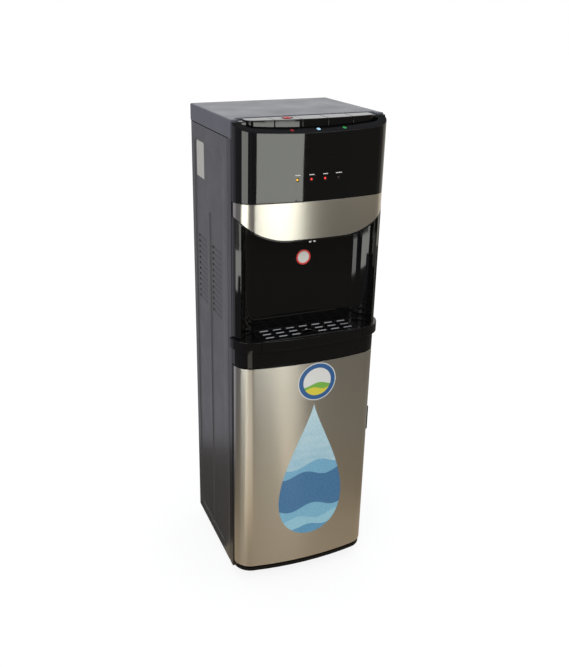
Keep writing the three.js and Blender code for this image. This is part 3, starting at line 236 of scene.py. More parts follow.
def drum(x, y, z0, z1, radius, sides=40, along="z"):
    """A round bar along an axis. Along y or x, the first two numbers are the other two axes."""
    return prism(ring(x, y, radius, sides), z0, z1, along)


def joined(objects):
    """Several separate tool objects as one."""
    bm = bmesh.new()
    for obj in objects:
        bm.from_mesh(obj.data)
        bpy.data.objects.remove(obj)
    return new_object("tool", bm, scale=False)


def apply_modifiers(obj):
    graph = bpy.context.evaluated_depsgraph_get()
    mesh = bpy.data.meshes.new_from_object(obj.evaluated_get(graph))
    old = obj.data
    obj.modifiers.clear()
    obj.data = mesh
    bpy.data.meshes.remove(old)
    return obj


def boolean(obj, tool, operation):
    mod = obj.modifiers.new("cut", "BOOLEAN")
    mod.operation = operation
    mod.solver = "EXACT"
    mod.object = tool
    apply_modifiers(obj)
    bpy.data.objects.remove(tool)
    return obj


def cut(obj, *tools):
    for tool in tools:
        boolean(obj, tool, "DIFFERENCE")
    return obj


def fuse(obj, *tools):
    for tool in tools:
        boolean(obj, tool, "UNION")
    return obj


def keep(obj, tool):
    return boolean(obj, tool, "INTERSECT")


@contextmanager
def editing(obj):
    bm = bmesh.new()
    bm.from_mesh(obj.data)
    yield bm
    bm.to_mesh(obj.data)
    bm.free()


def soften(obj, width, steps, angle):
    """Rounds the sharp edges."""
    with editing(obj) as bm:
        wide = [f for f in bm.faces if len(f.verts) > 4]
        bmesh.ops.triangulate(bm, faces=wide, quad_method="BEAUTY", ngon_method="BEAUTY")
    mod = obj.modifiers.new("round", "BEVEL")
    mod.width = width * MM
    mod.segments = steps
    mod.limit_method = "ANGLE"
    mod.angle_limit = math.radians(angle)
    mod.use_clamp_overlap = False
    mod.miter_outer = "MITER_ARC"
    return apply_modifiers(obj)


def clean(obj):
    with editing(obj) as bm:
        bmesh.ops.remove_doubles(bm, verts=bm.verts, dist=0.00001)
        bmesh.ops.dissolve_degenerate(bm, dist=0.00001, edges=bm.edges)
    return obj


def smooth(obj, angle=32, weighted=True):
    obj.data.shade_smooth()
    obj.data.set_sharp_from_angle(angle=math.radians(angle))
    if weighted:
        mod = obj.modifiers.new("normals", "WEIGHTED_NORMAL")
        mod.keep_sharp = True
        mod.mode = "FACE_AREA_WITH_ANGLE"
        mod.weight = 50
        apply_modifiers(obj)
    return obj


def round_off(obj, width, steps=3, angle=38):
    """Rounded edges and smooth shading, with the small faults that cuts leave cleaned away."""
    return smooth(clean(soften(clean(obj), width, steps, angle)))


def finish(obj, name, mat, body, replaces=()):
    """Names a piece, gives it its material and tells the frame what it belongs to."""
    obj.name = name
    obj.data.name = name
    obj.data.materials.clear()
    obj.data.materials.append(mat)
    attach(obj, body)
    if replaces:
        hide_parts(*replaces)
    return obj


def wall(profile, trim=0):
    """A wall swept along the front curve. profile(x, y) gives closed points of inset and height.

    trim is how many stations the wall stops short of the curve's two ends.
    """
    stations = front_stations()
    return loft([[(x + nx * i, y + ny * i, z) for i, z in profile(x, y)]
                 for x, y, nx, ny in stations[trim:len(stations) - trim]])


def rounded_profile(points, radius, steps=4):
    """Rounds every corner of a closed outline."""
    out = []
    n = len(points)
    for i in range(n):
        here = Vector(points[i])
        before = (Vector(points[i - 1]) - here)
        after = (Vector(points[(i + 1) % n]) - here)
        r = min(radius, before.length * 0.45, after.length * 0.45)
        a = here + before.normalized() * r
        b = here + after.normalized() * r
        for k in range(steps + 1):
            t = k / steps
            p = a.lerp(here, t).lerp(here.lerp(b, t), t)
            out.append((p.x, p.y))
    return out


# ---------------------------------------------------------------- materials

class Nodes:
    """A short way to write the nodes of a material, or of the world: mat is either."""

    def __init__(self, name, group=bpy.data.materials):
        self.mat = group.new(name)
        self.mat.use_nodes = True
        self.tree = self.mat.node_tree
        self.bsdf = self.tree.nodes.get("Principled BSDF")
        self.where = self.add("TexCoord").outputs["Object"]

    def feed(self, socket, value):
        """Links an output to an input, or sets the input's own value."""
        if isinstance(value, bpy.types.NodeSocket):
            self.tree.links.new(value, socket)
        elif hasattr(socket.default_value, "__len__") and len(value) < len(socket.default_value):
            socket.default_value = (*value, 1)
        else:
            socket.default_value = value

    def fill(self, node, values):
        for key, value in values.items():
            self.feed(node.inputs[key.replace("_", " ").title().replace("Ior", "IOR")], value)
        return node

    def add(self, kind, **values):
        return self.fill(self.tree.nodes.new("ShaderNode" + kind), values)

    def put(self, **values):
        self.fill(self.bsdf, values)

    def scaled(self, x, y, z):
        return self.add("Mapping", scale=(x, y, z), vector=self.where).outputs["Vector"]

    def noise(self, scale, detail=3.0, rough=0.55, vector=None):
        return self.add("TexNoise", scale=scale, detail=detail, roughness=rough,
                        vector=vector or self.where).outputs["Fac"]

    def ranged(self, value, low, high, start=0.3, end=0.7):
        """Takes start to end over into low to high."""
        return self.add("MapRange", from_min=start, from_max=end, to_min=low, to_max=high,
                        value=value).outputs["Result"]

    def mix(self, factor, a, b):
        node = self.add("Mix")
        node.data_type = "RGBA"
        for key, value in (("Factor_Float", factor), ("A_Color", a), ("B_Color", b)):
            self.feed(next(s for s in node.inputs if s.identifier == key), value)
        return next(s for s in node.outputs if s.identifier == "Result_Color")

    def math(self, operation, *values):
        node = self.add("Math")
        node.operation = operation
        for socket, value in zip(node.inputs, values):
            self.feed(socket, value)
        return node.outputs[0]

    def axis(self, name):
        return self.add("SeparateXYZ", vector=self.where).outputs[name]

    def length(self, vector):
        node = self.add("VectorMath")
        node.operation = "LENGTH"
        self.feed(node.inputs[0], vector)
        return node.outputs["Value"]

    def away(self, x, z):
        """Distance in metres from a point in millimetres, as seen from the front."""
        flat = self.add("Mapping", location=(-x * MM, 0, -z * MM), scale=(1, 0, 1), vector=self.where)
        return self.length(flat.outputs["Vector"])

    def below_wave(self, level, height, pace, phase):
        """1 under a wavy line across the front, 0 above it."""
        angle = self.math("ADD", self.math("MULTIPLY", self.axis("X"), pace), phase)
        swell = self.math("MULTIPLY", self.math("SINE", angle), height * MM)
        return self.math("LESS_THAN", self.axis("Z"), self.math("ADD", swell, level * MM))

    def bump(self, height, strength, distance):
        return self.add("Bump", height=height, strength=strength, distance=distance).outputs["Normal"]

    def seen(self):
        """1 for rays from the camera, a mirror or through glass, 0 for those that light things."""
        rays = self.add("LightPath").outputs
        bent = self.math("MAXIMUM", rays["Is Glossy Ray"], rays["Is Transmission Ray"])
        return self.math("MAXIMUM", rays["Is Camera Ray"], bent)

    def shaders(self, factor, a, b):
        node = self.add("MixShader")
        for socket, value in zip(node.inputs, (factor, a.outputs[0], b.outputs[0])):
            self.feed(socket, value)
        return node.outputs[0]


def varied(name, dark, light, low, high, tint, dull):
    """Colour from dark to light and roughness from low to high, each by a noise of its own."""
    n = Nodes(name)
    n.put(base_color=n.mix(n.noise(*tint), dark, light), roughness=n.ranged(n.noise(*dull), low, high))
    return n


DEEP_BLACK = ((0.0035, 0.0035, 0.0037), (0.0055, 0.0055, 0.006))


def gloss_black():
    n = varied("gloss_black", *DEEP_BLACK, 0.02, 0.05, (9.0, 4.0), (24.0, 5.0))
    waves = n.math("ADD", n.noise(11.0, 1.0), n.math("MULTIPLY", n.noise(60.0, 2.0), 0.04))
    n.put(normal=n.bump(waves, 0.12, 0.0008), specular_ior_level=0.36)
    return n.mat


def wet_black():
    """Gloss black under a thicker clear layer, for the drip grille."""
    n = varied("wet_black", *DEEP_BLACK, 0.06, 0.1, (9.0, 4.0), (24.0, 5.0))
    n.put(coat_weight=1.0, coat_ior=1.8, coat_roughness=0.03)
    return n.mat


def moulded(name, dark, light, rough, grain=900.0, depth=0.12, level=0.4):
    """Satin plastic with a fine spark-eroded grain."""
    n = varied(name, dark, light, rough - 0.05, rough + 0.06, (14.0, 4.0), (40.0, 4.0))
    n.put(normal=n.bump(n.noise(grain, 2.0), depth, 0.0003), specular_ior_level=level)
    return n.mat


def painted(name, dark, light, rough, level=0.5):
    """Powder coat: a faint orange peel and slight dulling."""
    n = varied(name, dark, light, rough - 0.04, rough + 0.05, (5.0, 5.0), (16.0, 5.0))
    n.put(normal=n.bump(n.noise(420.0, 2.0), 0.06, 0.0003), specular_ior_level=level)
    return n.mat


def metal(name, dark, light, rough):
    n = varied(name, dark, light, rough - 0.08, rough + 0.1, (30.0, 4.0), (60.0, 4.0))
    n.put(normal=n.bump(n.noise(500.0, 2.0), 0.08, 0.0002), metallic=1.0)
    return n.mat


def brushed(name, dark, light, rough):
    """Steel brushed along the horizontal, so that highlights stretch upward."""
    n = Nodes(name)
    fine = n.noise(1.0, 3.0, 0.6, n.scaled(26.0, 26.0, 5200.0))
    coarse = n.noise(1.0, 3.0, 0.6, n.scaled(7.0, 7.0, 900.0))
    lines = n.math("ADD", n.math("MULTIPLY", fine, 0.8), n.math("MULTIPLY", coarse, 0.2))
    clouds = n.math("ADD", lines, n.math("MULTIPLY", n.noise(6.0, 3.0), 0.2))
    n.put(base_color=n.mix(n.ranged(lines, 0.0, 1.0, 0.35, 0.65), dark, light))
    n.put(roughness=n.ranged(clouds, rough - 0.008, rough + 0.008))
    n.put(normal=n.bump(fine, 0.008, 0.0001), metallic=1.0, anisotropic=0.8)
    n.put(tangent=n.add("CombineXYZ", z=1.0).outputs[0])
    return n.mat


def lens_material(name, colour, glow):
    n = Nodes(name)
    shade = tuple(c * 0.55 for c in colour)
    n.put(base_color=n.mix(n.noise(400.0, 2.0), shade, colour), roughness=0.12, coat_weight=0.6)
    n.put(emission_color=colour, emission_strength=glow)
    return n.mat


MAT = {"gloss_black": gloss_black(), "wet_black": wet_black()}
MADE = (
    # function, name and its other arguments, mostly darkest and lightest colour and roughness
    (moulded, "skirt_black", (0.004, 0.004, 0.004), (0.008, 0.008, 0.008), 0.5, 900.0, 0.12, 0.15),
    (moulded, "satin_black", (0.008, 0.008, 0.0085), (0.014, 0.014, 0.015), 0.42),
    (brushed, "brushed_steel", (0.555, 0.53, 0.485), (0.58, 0.555, 0.51), 0.285),
    (brushed, "band_steel", (0.5, 0.475, 0.425), (0.525, 0.5, 0.45), 0.285),
    (painted, "side_paint", (0.06, 0.059, 0.062), (0.071, 0.07, 0.074), 0.34),
    (painted, "top_paint", (0.07, 0.074, 0.091), (0.083, 0.087, 0.106), 0.325),
    # the pillars' own dark paint, made near black as painted shade of the gap between side panel and door
    (painted, "pillar_paint", (0.02, 0.02, 0.021), (0.027, 0.027, 0.029), 0.325, 0.4),
    (metal, "plain_steel", (0.42, 0.43, 0.44), (0.56, 0.57, 0.58), 0.37),
    (painted, "black_paint", (0.01, 0.01, 0.011), (0.018, 0.018, 0.019), 0.35),
    (metal, "copper", (0.52, 0.2, 0.1), (0.72, 0.33, 0.19), 0.37),
    (moulded, "foam", (0.72, 0.71, 0.66), (0.86, 0.85, 0.81), 0.85, 260.0, 0.5, 0.2),
    (moulded, "board_green", (0.015, 0.09, 0.035), (0.03, 0.15, 0.06), 0.45),
    (moulded, "white_plastic", (0.66, 0.66, 0.63), (0.75, 0.75, 0.72), 0.38),
    (moulded, "red_plastic", (0.42, 0.008, 0.014), (0.58, 0.016, 0.024), 0.28),
    (moulded, "rubber", (0.008, 0.008, 0.008), (0.016, 0.016, 0.016), 0.7, 500.0, 0.3, 0.25),
    (moulded, "hose", (0.6, 0.63, 0.63), (0.72, 0.75, 0.75), 0.3),
    (lens_material, "amber_lens", (1.0, 0.5, 0.04), 1.0),
    (lens_material, "red_lens", (0.95, 0.05, 0.04), 0.95),
    (lens_material, "dark_lens", (0.06, 0.03, 0.02), 0.0),
    (moulded, "liner_black", (0.012, 0.012, 0.013), (0.02, 0.02, 0.021), 0.5, 500.0, 0.25),
    (moulded, "label_white", (0.7, 0.7, 0.68), (0.78, 0.78, 0.76), 0.5, 300.0, 0.05),
)
for make, name, *values in MADE:
    MAT[name] = make(name, *values)

# ---------------------------------------------------------------- upper front panel

def panel_outline(inset):
    x = ARM_INNER - inset
    return front_curve(inset) + [(x, -FLANK + inset), (x, -BACK_GAP), (-x, -BACK_GAP), (-x, -FLANK + inset)]


def under_slope(drop):
    ahead = -BULGE - 2 * COLLAR_PROUD
    return prism([
        (ahead, BAND_TOP - 1), (FIT, BAND_TOP - 1), (FIT, PANEL_SHELF), (-KEY_LINE, PANEL_SHELF),
        (-KEY_LINE, slope_height(-KEY_LINE, drop)), (ahead, slope_height(ahead, drop)),
    ], -HALF - 1, HALF + 1, "x")


def pocket(grow):
    floor = POCKET_FLOOR - grow
    room = box(-HALF, HALF, -BULGE, -KEY_LINE + grow, floor, TOP_LEVEL + 1)
    return keep(prism(front_curve(RIM - grow), floor, TOP_LEVEL + 1), room)


panel = keep(prism(panel_outline(0), BAND_TOP + FIT, TOP_LEVEL), under_slope(0))
x = ARM_INNER - MOULDING
inside = prism(front_curve(MOULDING) + [(x, -FLANK), (x, 1), (-x, 1), (-x, -FLANK)], BAND_TOP - 1, TOP_LEVEL)
inside = cut(
    keep(inside, under_slope(MOULDING)), pocket(MOULDING),
    box(-HALF, HALF, -KEY_LINE - MOULDING, FIT, POCKET_FLOOR - MOULDING, TOP_LEVEL),
)
SPAN = KEY_SPACING + KEY_WIDTH / 2 + RUNNING
lens_bores = [drum(x, LIGHT_LEVEL, -BULGE - 1, -BULGE + 12, LENS_RADIUS, 20, "y") for x in LIGHT_X]
panel = cut(
    panel, inside, pocket(0),
    box(-SPAN, SPAN, -KEY_LINE - RUNNING, FIT + 1, BAND_TOP - 1, TOP_LEVEL + 1),
    joined(lens_bores),
)
round_off(panel, 1.3, 4)
finish(panel, "upper_panel_gloss", MAT["gloss_black"], "cabinet", ["upper_front_panel"])

x = HALF - KEY_INSET
plan = front_curve(KEY_INSET) + [(x, -BACK_GAP), (-x, -BACK_GAP)]
surround = cut(
    prism(plan, POCKET_FLOOR + SEAT, KEY_TOP),
    box(-HALF, HALF, -KEY_LINE - SEAT, FIT, POCKET_FLOOR - 1, PANEL_SHELF + SEAT),
    box(-SPAN - FIT, SPAN + FIT, -BULGE, FIT, POCKET_FLOOR - 1, TOP_LEVEL + 1),
)
round_off(surround, 0.9, 3, 50)
finish(surround, "key_surround", MAT["gloss_black"], "cabinet")

# ---------------------------------------------------------------- band

def band_profile(x, y):
    low = smile_height(x)
    return rounded_profile([(0, low), (SHEET, low), (SHEET, BAND_TOP), (0, BAND_TOP)], STEEL_EDGE, 3)


band = smooth(wall(band_profile, STEEL_TRIM))
finish(band, "steel_band_sheet", MAT["band_steel"], "cabinet", ["steel_band"])

# ---------------------------------------------------------------- alcove

def below_smile(drop):
    floor = COLLAR_BOTTOM
    side = HALF + COLLAR_PROUD
    sweep = math.asin((side - SMILE_FLAT) / SMILE_RADIUS)
    level = SMILE_LEVEL + SMILE_RADIUS - drop
    points = ([(-side, floor), (side, floor)]
              + arc(SMILE_FLAT, level, SMILE_RADIUS, DOWN + sweep, DOWN, 24)
              + arc(-SMILE_FLAT, level, SMILE_RADIUS, DOWN, DOWN - sweep, 24))
    return prism(points, -BULGE - COLLAR_PROUD, FIT, "y")


def recess_plan():
    r = ALCOVE_FILLET
    ahead = -BULGE - 2 * COLLAR_PROUD
    return ([(-ALCOVE_HALF, ahead), (ALCOVE_HALF, ahead)]
            + arc(ALCOVE_HALF - r, -ALCOVE_BACK - r, r, 0, 0.5 * math.pi, 18)
            + arc(-ALCOVE_HALF + r, -ALCOVE_BACK - r, r, 0.5 * math.pi, math.pi, 18))


z0 = COLLAR_TOP + FIT
z1 = BAND_TOP
inner = SHEET + FIT
# outline of the flat that is cut off each cheek, for the right-hand side
CHEEK_FACET = ((152.4, -35.6), (130.0, -57.2), (130.0, -100.0), (170.0, -100.0), (170.0, -35.6))
alcove_rear = ALCOVE_BACK - MOULDING
liner = fuse(
    prism(front_region(inner), z0, z1),
    keep(prism(front_region(0), z0, z1), below_smile(FIT)),
    box(-BACK_HALF, BACK_HALF, -FLANK - 1, -alcove_rear, z0, z1),
)
room = fuse(
    prism(front_region(inner + HOOD_WALL), z0 - 1, CEILING),
    below_smile(HOOD_LIP),
    box(-BACK_HALF, BACK_HALF, -FLANK - 2, 0, z0 - 2, CEILING),
)
x = BACK_HALF - MOULDING
attic = front_curve(inner + HOOD_WALL) + [(x, -ALCOVE_BACK), (-x, -ALCOVE_BACK)]
liner = cut(
    liner,
    keep(prism(recess_plan(), z0 - 1, z1 + 1), room),
    prism(attic, CEILING + MOULDING, z1 + 1),
    drum(0, -NOZZLE_Y, CEILING - 1, CEILING + MOULDING + 1, NOZZLE_RADIUS + FIT),
)
for side in (-1, 1):
    outline = [(side * x, y) for x, y in CHEEK_FACET]
    facet = prism(outline if side > 0 else outline[::-1], z0 - 1, z1)
    liner = cut(liner, keep(facet, below_smile(2 * FIT)))
round_off(liner, 0.9)
finish(liner, "alcove_shell", MAT["gloss_black"], "cabinet", ["alcove_liner"])

TIP_FOOT = 774.5
TIP_RING = 5.4  # from the middle of the nozzle to its three outlets
TIP_RADIUS = 3.0
TIP_WALL = 0.9
TIP_TOP = CEILING - 18
tips = []
bores = []
for turn in (90, 210, 330):
    tx = TIP_RING * math.cos(math.radians(turn))
    ty = -NOZZLE_Y + TIP_RING * math.sin(math.radians(turn))
    tips.append(drum(tx, ty, TIP_FOOT, TIP_TOP, TIP_RADIUS, 24))
    bores.append(drum(tx, ty, TIP_FOOT - 1, TIP_TOP + 1, TIP_RADIUS - TIP_WALL, 24))
tips = cut(joined(tips), joined(bores))
round_off(tips, 0.3, 2)
finish(tips, "spout_tips", MAT["plain_steel"], "cabinet")

# ---------------------------------------------------------------- tray collar, tray and grille

z0 = FASCIA_BOTTOM
deck = COLLAR_BOTTOM - MOULDING
collar = fuse(
    prism(front_region(0), z0, COLLAR_TOP),
    prism(front_region(-COLLAR_PROUD), COLLAR_BOTTOM, COLLAR_TOP),
    box(-BACK_HALF, BACK_HALF, -FLANK - 1, -alcove_rear, z0, COLLAR_TOP),
)
x = BACK_HALF - MOULDING
collar = cut(
    collar,
    prism(front_region(MOULDING), z0 - 1, deck),
    box(-x, x, -FLANK - 1, -alcove_rear - MOULDING, z0 - 1, deck - 0.01),
    keep(prism(recess_plan(), COLLAR_TOP - MOULDING, COLLAR_TOP + 1),
         prism(front_region(MOULDING, 0), z0, COLLAR_TOP + 1)),
    box(-TRAY_HALF - RUNNING, TRAY_HALF + RUNNING, -BULGE - 3 * COLLAR_PROUD, -ALCOVE_BACK + RUNNING,
        COLLAR_BOTTOM - FIT, COLLAR_TOP + 1),
)
collar = fuse(collar, drum(*HINGE, z0, deck + 1, HINGE_BOSS))
collar = cut(collar, drum(*HINGE, z0 - 1, z0 + BORE_DEPTH, HINGE_BORE))
round_off(collar, 1.1)
finish(collar, "collar_body", MAT["gloss_black"], "cabinet", ["tray_collar"])

tray = keep(
    prism(front_region(-COLLAR_PROUD, 0), COLLAR_BOTTOM, COLLAR_TOP),
    box(-TRAY_HALF, TRAY_HALF, -BULGE - 3 * COLLAR_PROUD, -ALCOVE_BACK, COLLAR_BOTTOM - 1, COLLAR_TOP + 1),
)
x = GRILLE_HALF + FIT
seat = rounded_rectangle(-x, x, -GRILLE_FRONT - FIT, -GRILLE_BACK + FIT, GRILLE_CORNER + FIT)
x = TRAY_HALF - 2 * MOULDING
basin = rounded_rectangle(-x, x, -GRILLE_FRONT + 2 * MOULDING, -GRILLE_BACK - MOULDING, 8)
tray = cut(
    tray,
    prism(seat, COLLAR_TOP - GRILLE_THICK - FIT, COLLAR_TOP + 1),
    prism(basin, COLLAR_BOTTOM + MOULDING, COLLAR_TOP + 1),
)
round_off(tray, 0.9)
finish(tray, "tray_body", MAT["gloss_black"], "tray", ["drip_tray"])

top = COLLAR_TOP - FIT / 2
z0 = top - GRILLE_THICK
outline = rounded_rectangle(-GRILLE_HALF, GRILLE_HALF, -GRILLE_FRONT, -GRILLE_BACK, GRILLE_CORNER)
FLARE = 2.8  # how far the rear edge of a slot opens out at the top
FLARE_LOW = top - FLARE * 0.75
FLARE_HIGH = top + 0.6


def flared(low, high):
    """The opened top of a slot, between its outlines at two levels."""
    return loft([[(x, y, z) for x, y in line] for line, z in ((low, FLARE_LOW), (high, FLARE_HIGH))])


slots = []
flares = []
half = SLOT_LENGTH / 2
corner = SLOT_WIDTH / 2 - 0.05
flare_corner = SLOT_WIDTH / 2 - 1
for rank in range(3):
    y = -GRILLE_BACK - ROW_START - rank * ROW_PITCH
    for column in range(-3, 4):
        if rank > 0 and column == 0:
            continue
        x = column * SLOT_PITCH
        near, rear = y - SLOT_WIDTH / 2, y + SLOT_WIDTH / 2
        slots.append(prism(rounded_rectangle(x - half, x + half, near, rear, corner), z0 - 1, top + 1))
        near += 1
        flares.append(flared(
            rounded_rectangle(x - half + 0.3, x + half - 0.3, near, rear - 0.2, flare_corner),
            rounded_rectangle(x - half + 0.1, x + half - 0.1, near, rear + FLARE, flare_corner)))
hole_y = -GRILLE_BACK - ROW_START - 1.5 * ROW_PITCH
slots.append(drum(0, hole_y, z0 - 1, top + 1, FINGER_HOLE, 48))
wide = FINGER_HOLE + FLARE / 2
flares.append(flared(ring(0, hole_y, FINGER_HOLE - 0.2, 48), ring(0, hole_y + FLARE / 2, wide, 48)))
grille = cut(prism(outline, z0, top), joined(slots), joined(flares))
round_off(grille, 0.45)
finish(grille, "grille_plate", MAT["wet_black"], "grille", ["drip_grille"])

# ---------------------------------------------------------------- door

skin_profile = rounded_profile(
    [(0, DOOR_BOTTOM), (SHEET, DOOR_BOTTOM), (SHEET, DOOR_TOP), (0, DOOR_TOP)], 0.55, 3)
skin = smooth(wall(lambda x, y: skin_profile, STEEL_TRIM))
finish(skin, "door_face", MAT["brushed_steel"], "door", ["door_skin"])

STEEL_END = front_stations()[STEEL_TRIM][1]
SHELL_DEPTH = 12.0
PIN_REACH = 12.0


def shell_profile(x, y):
    """The inner moulding comes out round the ends of the steel."""
    face = 0.15 if y > STEEL_END + 0.5 else SHEET + FIT
    outline = [(face, DOOR_BOTTOM), (SHELL_DEPTH, DOOR_BOTTOM), (SHELL_DEPTH, DOOR_TOP), (face, DOOR_TOP)]
    return rounded_profile(outline, 0.8, 3)


shell = wall(shell_profile)
for low, high in ((DOOR_BOTTOM - 1, DOOR_BOTTOM + PIN_REACH), (DOOR_TOP - PIN_REACH, DOOR_TOP + 1)):
    shell = cut(shell, drum(*HINGE, low, high, DOOR_BORE, 32))
smooth(clean(shell))
finish(shell, "door_inner", MAT["liner_black"], "door", ["door_shell"])

# ---------------------------------------------------------------- top cover

rear = REAR_SKIN + FIT
arm_x = HALF - ARM
cover = prism([
    (-HALF, rear), (-HALF, -PILLAR_REACH), (-arm_x, -PILLAR_REACH), (-arm_x, 0), (arm_x, 0),
    (arm_x, -PILLAR_REACH), (HALF, -PILLAR_REACH), (HALF, rear),
], COVER_BOTTOM, TOP_LEVEL)
with editing(cover) as bm:
    edges = [e for e in bm.edges if min(v.co.z for v in e.verts) > (TOP_LEVEL - 1) * MM]
    bmesh.ops.bevel(bm, geom=edges, offset=COVER_ROUND * MM, segments=5, profile=0.5, affect="EDGES",
                    clamp_overlap=False)
x = HALF - MOULDING
cover = cut(cover, box(-x, x, MOULDING, rear - MOULDING, COVER_BOTTOM - 1, TOP_LEVEL - MOULDING))
round_off(cover, 0.4, 2, 60)
finish(cover, "cover_lid", MAT["top_paint"], "cabinet", ["top_cover"])

# ---------------------------------------------------------------- keys

def inset_y(x, inset):
    """The y of the front curve's middle arc, set back by an inset."""
    return FRONT_CENTRE - math.sqrt((FRONT_RADIUS - inset) ** 2 - x * x)


def key_cap(index, name, body, node):
    x = index * KEY_SPACING
    low, high = x - KEY_WIDTH / 2, x + KEY_WIDTH / 2
    face = [(low + KEY_WIDTH * i / 8, inset_y(low + KEY_WIDTH * i / 8, KEY_INSET)) for i in range(9)]
    cap = prism(face + [(high, -KEY_BACK), (low, -KEY_BACK)], POCKET_FLOOR + 5, KEY_TOP)
    cap = fuse(cap, box(low, high, -KEY_LINE, -KEY_BACK, KEY_BOTTOM, POCKET_FLOOR + 6))
    cap = cut(cap, box(low + MOULDING, high - MOULDING, -KEY_LINE + MOULDING, -KEY_BACK - MOULDING,
                       KEY_BOTTOM - 1, KEY_TOP - 2 * MOULDING))
    if index == -1:
        slot = box(x - 5, x + 17, SLIDER_Y - 6.5, SLIDER_Y + 6.5, SLIDER_TOP - 4.4, KEY_TOP + 1)
        cap = cut(cap, slot)
    round_off(cap, 0.8, 3, 50)
    return finish(cap, name, MAT["gloss_black"], body, [node])


key_cap(-1, "keycap_hot", "hot_key", "key_hot")
key_cap(0, "keycap_cold", "cold_key", "key_cold")
key_cap(1, "keycap_room", "room_key", "key_room")

x = -KEY_SPACING + 5
outline = rounded_rectangle(x - 6.5, x + 6.5, SLIDER_Y - 6, SLIDER_Y + 6, 1.5, 4)
grooves = [box(x + s - 0.6, x + s + 0.6, SLIDER_Y - 7, SLIDER_Y + 7, SLIDER_TOP - 0.6, SLIDER_TOP + 1)
           for s in (-3, 0, 3)]
slider = cut(prism(outline, SLIDER_TOP - 4, SLIDER_TOP), joined(grooves))
round_off(slider, 0.25, 2, 50)
finish(slider, "lock_slider", MAT["red_plastic"], "lock_slider", ["child_lock_slider"])

# ---------------------------------------------------------------- side panels

RECESS = (29.0, SIDE_DEPTH - 12.0, 34.0, 949.0)  # y and z half way down its sloping border
RECESS_RADIUS = 25.0
RECESS_DEPTH = 3.0
RECESS_WALL = 19.0
RECESS_STEP = 4.0  # the steep inner part of the border
SEAM = 1.6
RIB = (128.0, 8.0, 805.0, 35.0)  # middle, half width, top, bottom
RIB_HEIGHT = 2.0
LOUVRE_COLUMNS = (79.8, 174.0)
LOUVRE_HALF = 29.5
LOUVRE_TOP = 738.5
LOUVRE_ROWS = 12
LOUVRE_PITCH = 12.5
LOUVRE_RISE = 8.0
LOUVRE_DEPTH = 3.9
LOUVRE_EDGE = 0.35
LOUVRE_FOOT = 590.0  # just under the lowest louvre
BEND = 2.6
FINE = 0.6  # steps of the sheet's grid
EVEN = 1.5
WIDE = 2.4
PANEL_BOTTOM = 20.0
PANEL_TOP = COVER_BOTTOM - SEAM


def ease(t):
    t = min(max(t, 0.0), 1.0)
    return t * t * (3 - 2 * t)


def rounded_distance(y, z, y0, y1, z0, z1, r):
    """Distance inside a rounded rectangle, negative outside."""
    dy = abs(y - (y0 + y1) / 2) - (y1 - y0) / 2 + r
    dz = abs(z - (z0 + z1) / 2) - (z1 - z0) / 2 + r
    return r - (math.hypot(max(dy, 0.0), max(dz, 0.0)) + min(max(dy, dz), 0.0))


def panel_depth(y, z):
    """How far the pressed sheet lies behind the side's plane."""
    y0, y1, z0, z1 = RECESS
    inside = rounded_distance(y, z, y0, y1, z0, z1, RECESS_RADIUS) + RECESS_WALL / 2
    slope = min(max(inside / (RECESS_WALL - RECESS_STEP), 0.0), 1.0)
    depth = RECESS_DEPTH * (0.3 * slope + 0.7 * ease((inside - RECESS_WALL + RECESS_STEP) / RECESS_STEP))
    middle, half, top, bottom = RIB
    inside = rounded_distance(y, z, middle - half - 1, middle + half + 1, bottom - 1, top + 1, half)
    depth -= RIB_HEIGHT * ease(inside / 3.0)
    for centre in LOUVRE_COLUMNS:
        side = LOUVRE_HALF - abs(y - centre)
        if side <= 0:
            continue
        down = LOUVRE_TOP - z
        if 0 < down < (LOUVRE_ROWS - 1) * LOUVRE_PITCH + LOUVRE_RISE:
            down %= LOUVRE_PITCH
            if 0.03 < down < LOUVRE_RISE:
                depth += LOUVRE_DEPTH * (1 - down / LOUVRE_RISE) * min(side / LOUVRE_EDGE, 1.0)
    return depth


def louvre_mouth(y, z):
    """Whether a point lies in the open rear end of a louvre."""
    down = LOUVRE_TOP - z
    if not 0 < down < (LOUVRE_ROWS - 1) * LOUVRE_PITCH + LOUVRE_RISE or down % LOUVRE_PITCH > LOUVRE_RISE:
        return False
    return any(0 < centre + LOUVRE_HALF - y < LOUVRE_EDGE for centre in LOUVRE_COLUMNS)


def spaced(stops):
    """Numbers from (start, end, step) runs, without doubles."""
    found = []
    for start, end, step in stops:
        count = max(1, round((end - start) / step))
        found += [start + (end - start) * i / count for i in range(count + 1)]
    found.sort()
    return [v for i, v in enumerate(found) if i == 0 or v - found[i - 1] > 0.02]


def border_runs(start, low, high, end):
    """Grid runs across the borders of the recess, from start to end."""
    zone = RECESS_WALL / 2
    turn = RECESS_RADIUS - 3.0
    return [
        (start, low + zone - RECESS_STEP, EVEN), (low + zone - RECESS_STEP, low + zone, FINE),
        (low + zone, low + turn, WIDE), (high - turn, high - zone, WIDE),
        (high - zone, high - zone + RECESS_STEP, FINE), (high - zone + RECESS_STEP, end, EVEN),
    ]


def grid_depths():
    """The y of the sheet's grid lines on the flat of the side, close at every bend."""
    y0, y1, _, _ = RECESS
    middle, half, _, _ = RIB
    outside = y0 - RECESS_WALL / 2
    runs = border_runs(outside, y0, y1, SIDE_DEPTH - BEND)
    runs += [(SEAM + BEND, outside, 6), (middle - half - 1.2, middle - half + WIDE, FINE),
             (middle + half - WIDE, middle + half + 1.2, FINE)]
    for centre in LOUVRE_COLUMNS:
        for s in (-1, 1):
            e = centre + s * LOUVRE_HALF
            runs.append((min(e, e - s * LOUVRE_EDGE), max(e, e - s * LOUVRE_EDGE), LOUVRE_EDGE))
        runs.append((centre - 20, centre + 20, 13))
    return spaced(runs)


